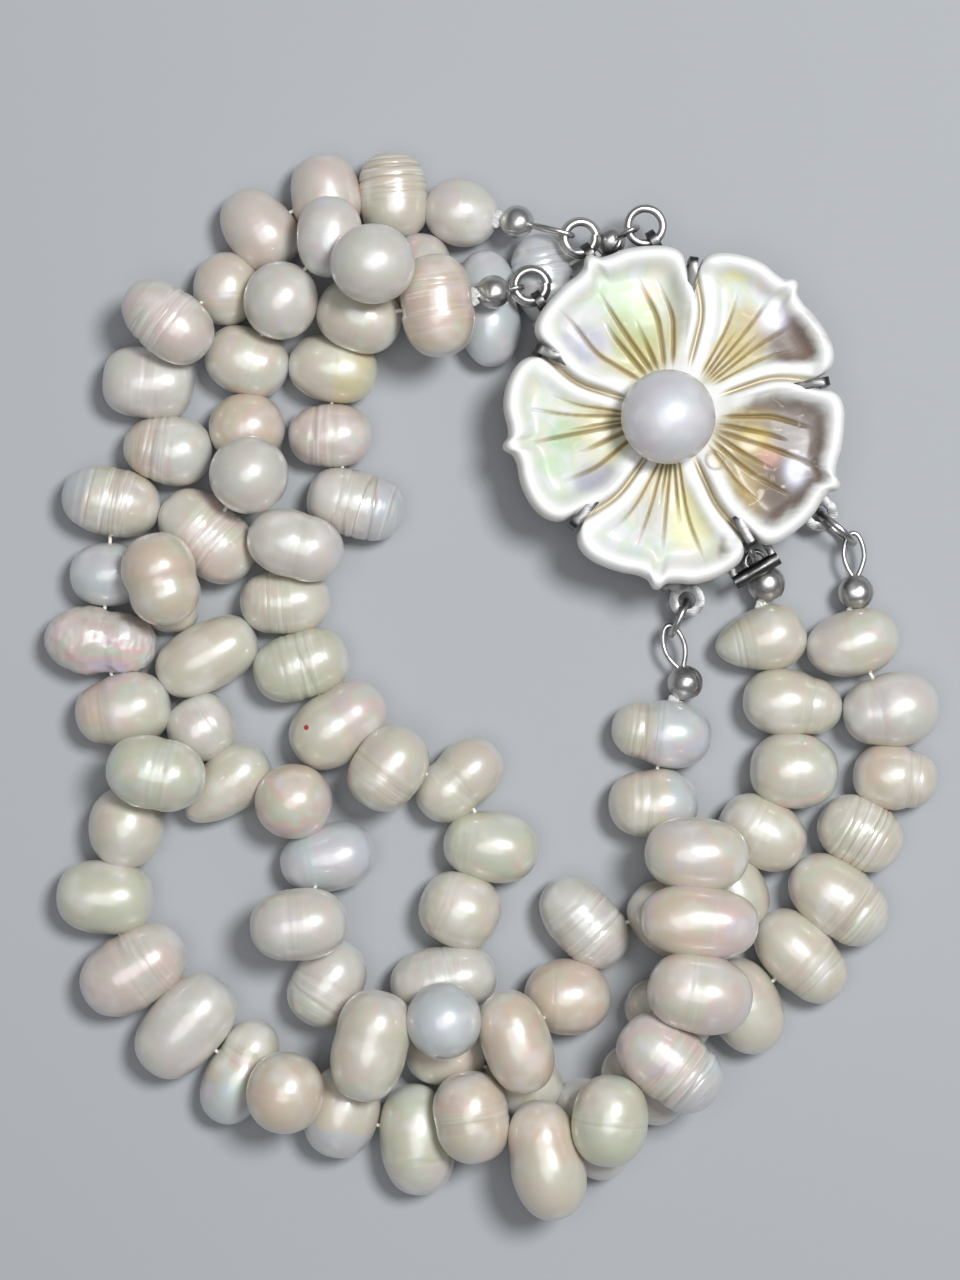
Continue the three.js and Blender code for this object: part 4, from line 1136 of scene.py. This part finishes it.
def tint_and_painted_light_at(x, y, hollow):
    """Colour of the shell's patches at a place, with painted shadow and reflections among them, and how much
    of it shows.
    """
    colour, total = Vector((0.8, 0.8, 0.8)), 0.0
    for tint in TINT_AND_PAINTED_LIGHT_ROWS:
        far = ((x - tint["x"]) / tint["wide"]) ** 2 + ((y - tint["y"]) / tint["high"]) ** 2
        if far < 6:
            share = tint["amount"] * min(1.0, 1.6 * math.exp(-far))
            colour = colour.lerp(Vector(tint["colour"]), min(1.0, share / (total * 0.5 + 0.5)))
            total = max(total, share)
    return tuple(colour), total * (0.25 + 0.75 * hollow)


class BRACELET_OT_flower(bpy.types.Operator):
    """Carves the mother-of-pearl flower"""

    bl_idname = "bracelet.flower"
    bl_label = "Flower"

    def execute(self, context):
        clasp = context.scene.bracelet_clasp
        around = clasp.around
        points, marks, tints_and_painted_light = [], [], []

        def add(x, y, z, marked=(0.0, 0.0, 0.0)):
            points.append(place(FLOWER[0] + x, FLOWER[1] + y, z))
            colour, amount = tint_and_painted_light_at(x, y, marked[2])
            marks.append((*marked, amount))
            tints_and_painted_light.append(colour)

        add(0, 0, SHELL["seat"])
        for step in range(1, SHELL_STEPS + 1):
            share = 1 - (1 - step / SHELL_STEPS) ** 1.2
            for i in range(around):
                angle = 2 * math.pi * i / around
                radius = petal_outline(angle) * share
                x, y = radius * math.cos(angle), radius * math.sin(angle)
                height, *marked = shell_point(radius, angle)
                ring = math.hypot(x - BLEMISH["x"], y - BLEMISH["y"]) - BLEMISH["radius"]
                mark = math.exp(-((ring / BLEMISH["line"]) ** 2))
                marked[0] = max(marked[0], mark * BLEMISH["dark"])
                add(x, y, height - BLEMISH["depth"] * mark, marked)
        for drop, inset in ((0.35, -0.02), (0.8, 0.1), (1.0, SHELL["inset"])):
            for i in range(around):
                angle = 2 * math.pi * i / around
                radius = petal_outline(angle) - inset
                top = shell_point(petal_outline(angle), angle)[0]
                z = top + (SHELL["bottom"] - top) * drop
                add(radius * math.cos(angle), radius * math.sin(angle), z)
        add(0, 0, SHELL["bottom"])
        last = len(points) - 1
        rows = SHELL_STEPS + 3
        faces = []
        for i in range(around):
            following = (i + 1) % around
            faces.append((0, 1 + i, 1 + following))
            for row in range(rows - 1):
                a, b = 1 + row * around + i, 1 + row * around + following
                faces.append((a, a + around, b + around, b))
            start = 1 + (rows - 1) * around
            faces.append((last, start + following, start + i))
        piece = mesh_piece("flower_carving", points, faces, shell_material(clasp))
        for column, label in enumerate(("vein", "gild", "hollow", "amount")):
            store(piece.data, label, [mark[column] for mark in marks])
        store(piece.data, "tint", tints_and_painted_light, "FLOAT_VECTOR")
        ride(piece, "shell", "clasp_flower")
        return {"FINISHED"}


class BRACELET_OT_centre_pearl(bpy.types.Operator):
    """Sets the pearl in the middle of the flower"""

    bl_idname = "bracelet.centre_pearl"
    bl_label = "Centre pearl"

    def execute(self, context):
        clasp = context.scene.bracelet_clasp
        low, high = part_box("centre_pearl")
        pearl = {
            "x": CENTRE_PEARL[0], "y": CENTRE_PEARL[1], "z": (low[2] + high[2]) / 2 / MM,
            "length": (high[2] - low[2]) / MM, "width": (high[0] - low[0]) / MM,
            "angle": 0.0, "tilt": 90, "plump": 1, "index": 0, "round": 2.0, "cap": ("pearl", 0, 1),
            "taper": 0.0, "waist": 0.0, "place": 0.0, "rings": 0.0, "lump": 0.1, "flush": 0.15,
            "body": "pearl",
        }
        piece = pearl_points("centre_pearl_nacre", [pearl], {"pearl": clasp.pearl})
        values = {
            "Segments": 96, "Steps": 64, "Ring Depth": 0.0,
            "Material": pearl_material("satin_nacre", 0.36, 0.05),
        }
        run_tree(piece, pearl_tree(), values)
        ride(piece, "grey_pearl", "centre_pearl")
        return {"FINISHED"}


# ------------------------------------------------------------------ metal
def polished_copy(name, node, edge, material):
    """A copy of a metal node with rounded edges."""
    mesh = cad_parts[node].data.copy()
    mesh.materials.clear()
    mesh.materials.append(material)
    outward(mesh)
    piece = new_object(name, mesh)
    bevel = piece.modifiers.new("rounded_edges", "BEVEL")
    bevel.width = edge
    bevel.segments = 3
    bevel.limit_method = "ANGLE"
    bevel.angle_limit = math.radians(32)
    bake(piece)
    piece.data.shade_smooth()
    piece.data.set_sharp_from_angle(angle=math.radians(38))
    return ride(piece, "steel", node)


def ring_path(ring, wire):
    """Points of a jump ring, lying flat or standing, as one or two close coils."""
    turn = math.radians(ring["eye_turn"])
    across = Vector((math.cos(turn), math.sin(turn), 0))
    other = Vector((-math.sin(turn), math.cos(turn), 0)) if ring["flat"] else Vector((0, 0, 1))
    normal = across.cross(other)
    centre = place(ring["x"], ring["y"], ring["z"])
    coils = ring["coils"]
    steps = COIL_STEPS * coils
    pitch = 0.0 if coils == 1 else COIL_PITCH * wire
    path = []
    for i in range(steps if coils == 1 else steps + 1):
        angle = 2 * math.pi * i / COIL_STEPS + COIL_START
        lift = pitch * (i / COIL_STEPS - coils / 2)
        radius = ring["radius"] * MM * (1 - COIL_NARROWING * (coils - 1) * i / steps)
        path.append(centre + (across * math.cos(angle) + other * math.sin(angle)) * radius + normal * lift)
    return path, coils == 1


def hook_place(ring):
    """Where a bead tip's hook goes round its jump ring."""
    turn = math.radians(ring["hook_turn"])
    x, y = ring["radius"] * math.cos(turn), ring["radius"] * math.sin(turn)
    return place(ring["x"] + x, ring["y"] + y, ring["z"])


def hook_path(ring, tip):
    """A drop-shaped loop from inside the bead tip's ball out round its jump ring."""
    hook = hook_place(ring)
    ball = place(tip["x"], tip["y"], tip["z"])
    along = ball - hook
    far = along.length - tip["radius"] * MM + HOOK_OVERLAP * MM
    near = HOOK_NEAR * MM
    half = (near + far) / 2
    along.normalize()
    sideways = Vector((0, 0, 1)).cross(along).normalized()
    upright = along.cross(sideways)
    across = upright if ring["flat"] else sideways
    middle = hook + along * (half - near)
    path = []
    for i in range(COIL_STEPS):
        angle = 2 * math.pi * i / COIL_STEPS
        pinch = 1 - 0.45 * max(0.0, math.cos(angle)) ** 1.5
        path.append(middle + along * half * math.cos(angle) + across * near * math.sin(angle) * pinch)
    return path, True


def ball_mesh(ring, tip, material, name):
    """A ball closed from two shells: a seam round it and a small mouth at the thread's side."""
    centre = place(tip["x"], tip["y"], tip["z"])
    along = (hook_place(ring) - centre).normalized()
    sideways = Vector((0, 0, 1)).cross(along).normalized()
    upright = along.cross(sideways)
    seam = (upright * 0.75 + sideways * 0.66).normalized()
    work = bmesh.new()
    bmesh.ops.create_uvsphere(work, u_segments=64, v_segments=40, radius=1.0)
    for vert in work.verts:
        direction = vert.co.normalized()
        out = sideways * direction.x + upright * direction.y + along * direction.z
        groove = 0.07 * math.exp(-((out.dot(seam) / 0.055) ** 2))
        lip = 0.03 * math.exp(-(((abs(out.dot(seam)) - 0.14) / 0.06) ** 2))
        mouth = 0.16 * smoothstep(-out.dot(along), 0.90, 0.99)
        vert.co = centre + out * (tip["radius"] * MM * (0.985 - groove + lip * 0.5 - mouth))
    return smooth_mesh(name, work, material)


def join(pieces):
    """Joins pieces into the first one's mesh."""
    work = bmesh.new()
    for piece in pieces:
        work.from_mesh(piece.data)
    work.to_mesh(pieces[0].data)
    work.free()
    for piece in pieces[1:]:
        bpy.data.objects.remove(piece)
    return pieces[0]


class BRACELET_OT_clasp_metal(bpy.types.Operator):
    """Finishes the clasp's setting and tongue"""

    bl_idname = "bracelet.clasp_metal"
    bl_label = "Clasp metal"

    def execute(self, context):
        clasp = context.scene.bracelet_clasp
        metal = metal_material("plated_metal", clasp.metal)
        polished_copy("setting_metal", "clasp_setting", clasp.edge, metal)
        polished_copy("tongue_metal", "clasp_tongue", clasp.edge, metal)
        return {"FINISHED"}


class BRACELET_OT_jump_rings(bpy.types.Operator):
    """Bends the jump rings"""

    bl_idname = "bracelet.jump_rings"
    bl_label = "Jump rings"

    def execute(self, context):
        clasp = context.scene.bracelet_clasp
        metal = metal_material("ring_wire", clasp.wire_metal)
        tree = wire_tree()
        for ring in read_table(RING_COLUMNS, RINGS):
            wire = clasp.wire * (0.9 if ring["flat"] else 0.75)
            piece = wire_piece(f"{ring['name']}_wire", tree, [ring_path(ring, wire)], wire, 14, metal)
            ride(piece, "steel", ring["name"])
        return {"FINISHED"}


class BRACELET_OT_bead_tips(bpy.types.Operator):
    """Closes the bead tips over the knots and hooks them to their jump rings"""

    bl_idname = "bracelet.bead_tips"
    bl_label = "Bead tips"

    def execute(self, context):
        clasp = context.scene.bracelet_clasp
        metal = metal_material("bead_tip_metal", clasp.wire_metal)
        tree = wire_tree()
        for ring, tip in zip(read_table(RING_COLUMNS, RINGS), read_table(TIP_COLUMNS, TIPS)):
            hook = wire_piece(f"{tip['name']}_shells", tree, [hook_path(ring, tip)], clasp.hook, 12, metal)
            ball = new_object("ball", ball_mesh(ring, tip, metal, "ball"))
            ride(join([hook, ball]), "steel", tip["name"])
        return {"FINISHED"}


# ------------------------------------------------------------------ stage
def area_light(name, location, size, power, colour):
    light = bpy.data.lights.new(name, "AREA")
    light.shape = "DISK"
    light.size = size
    light.energy = power
    light.color = colour
    lamp = bpy.data.objects.new(name, light)
    lamp.location = location
    lamp.rotation_euler = (-Vector(location)).to_track_quat("-Z", "Y").to_euler()
    bpy.context.scene.collection.objects.link(lamp)


class BRACELET_OT_stage(bpy.types.Operator):
    """Sets the table, the soft lights and the camera straight above"""

    bl_idname = "bracelet.stage"
    bl_label = "Stage"

    def execute(self, context):
        stage = context.scene.bracelet_stage
        half = 0.8
        corners = [(-half, -half, 0), (half, -half, 0), (half, half, 0), (-half, half, 0)]
        floor = mesh_piece("table_top", corners, [(0, 1, 2, 3)], table_material(stage), smooth=False)
        area_light("key_light", (0.15, 0.11, 0.46), 0.13, stage.key_power, (0.95, 0.98, 1.0))
        area_light("fill_light", (-0.05, -0.04, 0.62), 0.42, stage.fill_power, (0.95, 0.97, 1.0))
        world = bpy.data.worlds.new("room")
        world.use_nodes = True
        background = world.node_tree.nodes["Background"]
        background.inputs["Color"].default_value = (0.92, 0.94, 1.0, 1.0)
        background.inputs["Strength"].default_value = stage.sky
        context.scene.world = world
        context.scene.view_settings.view_transform = "Standard"
        camera = bpy.data.cameras.new("camera")
        camera.sensor_width = 36.0
        camera.lens = 36.0 * (stage.camera_height - 0.004) / stage.view_height
        camera.clip_start = 0.01
        eye = bpy.data.objects.new("camera", camera)
        middle = place(0, 0)
        eye.location = (middle.x, middle.y, stage.camera_height)
        context.scene.collection.objects.link(eye)
        context.scene.camera = eye
        return {"FINISHED"}


# ------------------------------------------------------------------ panel
PIECES = (
    "bracelet.pearls", "bracelet.threads", "bracelet.knots", "bracelet.flower", "bracelet.centre_pearl",
    "bracelet.clasp_metal", "bracelet.jump_rings", "bracelet.bead_tips", "bracelet.stage",
)


class BRACELET_PT_panel(bpy.types.Panel):
    """Lists the bracelet's sizes, colours and pieces"""

    bl_idname = "BRACELET_PT_panel"
    bl_label = "Pearl bracelet"
    bl_space_type = "VIEW_3D"
    bl_region_type = "UI"
    bl_category = "Bracelet"

    def draw(self, context):
        layout = self.layout
        for settings in (
            context.scene.bracelet_pearls, context.scene.bracelet_clasp, context.scene.bracelet_stage,
        ):
            box = layout.box()
            for name in settings.__annotations__:
                box.prop(settings, name)
        for operator in PIECES:
            layout.operator(operator)


CLASSES = (
    PearlSettings, ClaspSettings, StageSettings,
    BRACELET_OT_pearls, BRACELET_OT_threads, BRACELET_OT_knots, BRACELET_OT_flower, BRACELET_OT_centre_pearl,
    BRACELET_OT_clasp_metal, BRACELET_OT_jump_rings, BRACELET_OT_bead_tips, BRACELET_OT_stage,
    BRACELET_PT_panel,
)


def register():
    for item in CLASSES:
        bpy.utils.register_class(item)
    bpy.types.Scene.bracelet_pearls = bpy.props.PointerProperty(type=PearlSettings)
    bpy.types.Scene.bracelet_clasp = bpy.props.PointerProperty(type=ClaspSettings)
    bpy.types.Scene.bracelet_stage = bpy.props.PointerProperty(type=StageSettings)


def unregister():
    del bpy.types.Scene.bracelet_stage
    del bpy.types.Scene.bracelet_clasp
    del bpy.types.Scene.bracelet_pearls
    for item in reversed(CLASSES):
        bpy.utils.unregister_class(item)


def main():
    register()
    bpy.ops.bracelet.pearls()
    bpy.ops.bracelet.threads()
    bpy.ops.bracelet.knots()
    bpy.ops.bracelet.flower()
    bpy.ops.bracelet.centre_pearl()
    bpy.ops.bracelet.clasp_metal()
    bpy.ops.bracelet.jump_rings()
    bpy.ops.bracelet.bead_tips()
    bpy.ops.bracelet.stage()


if __name__ == "__main__":
    main()
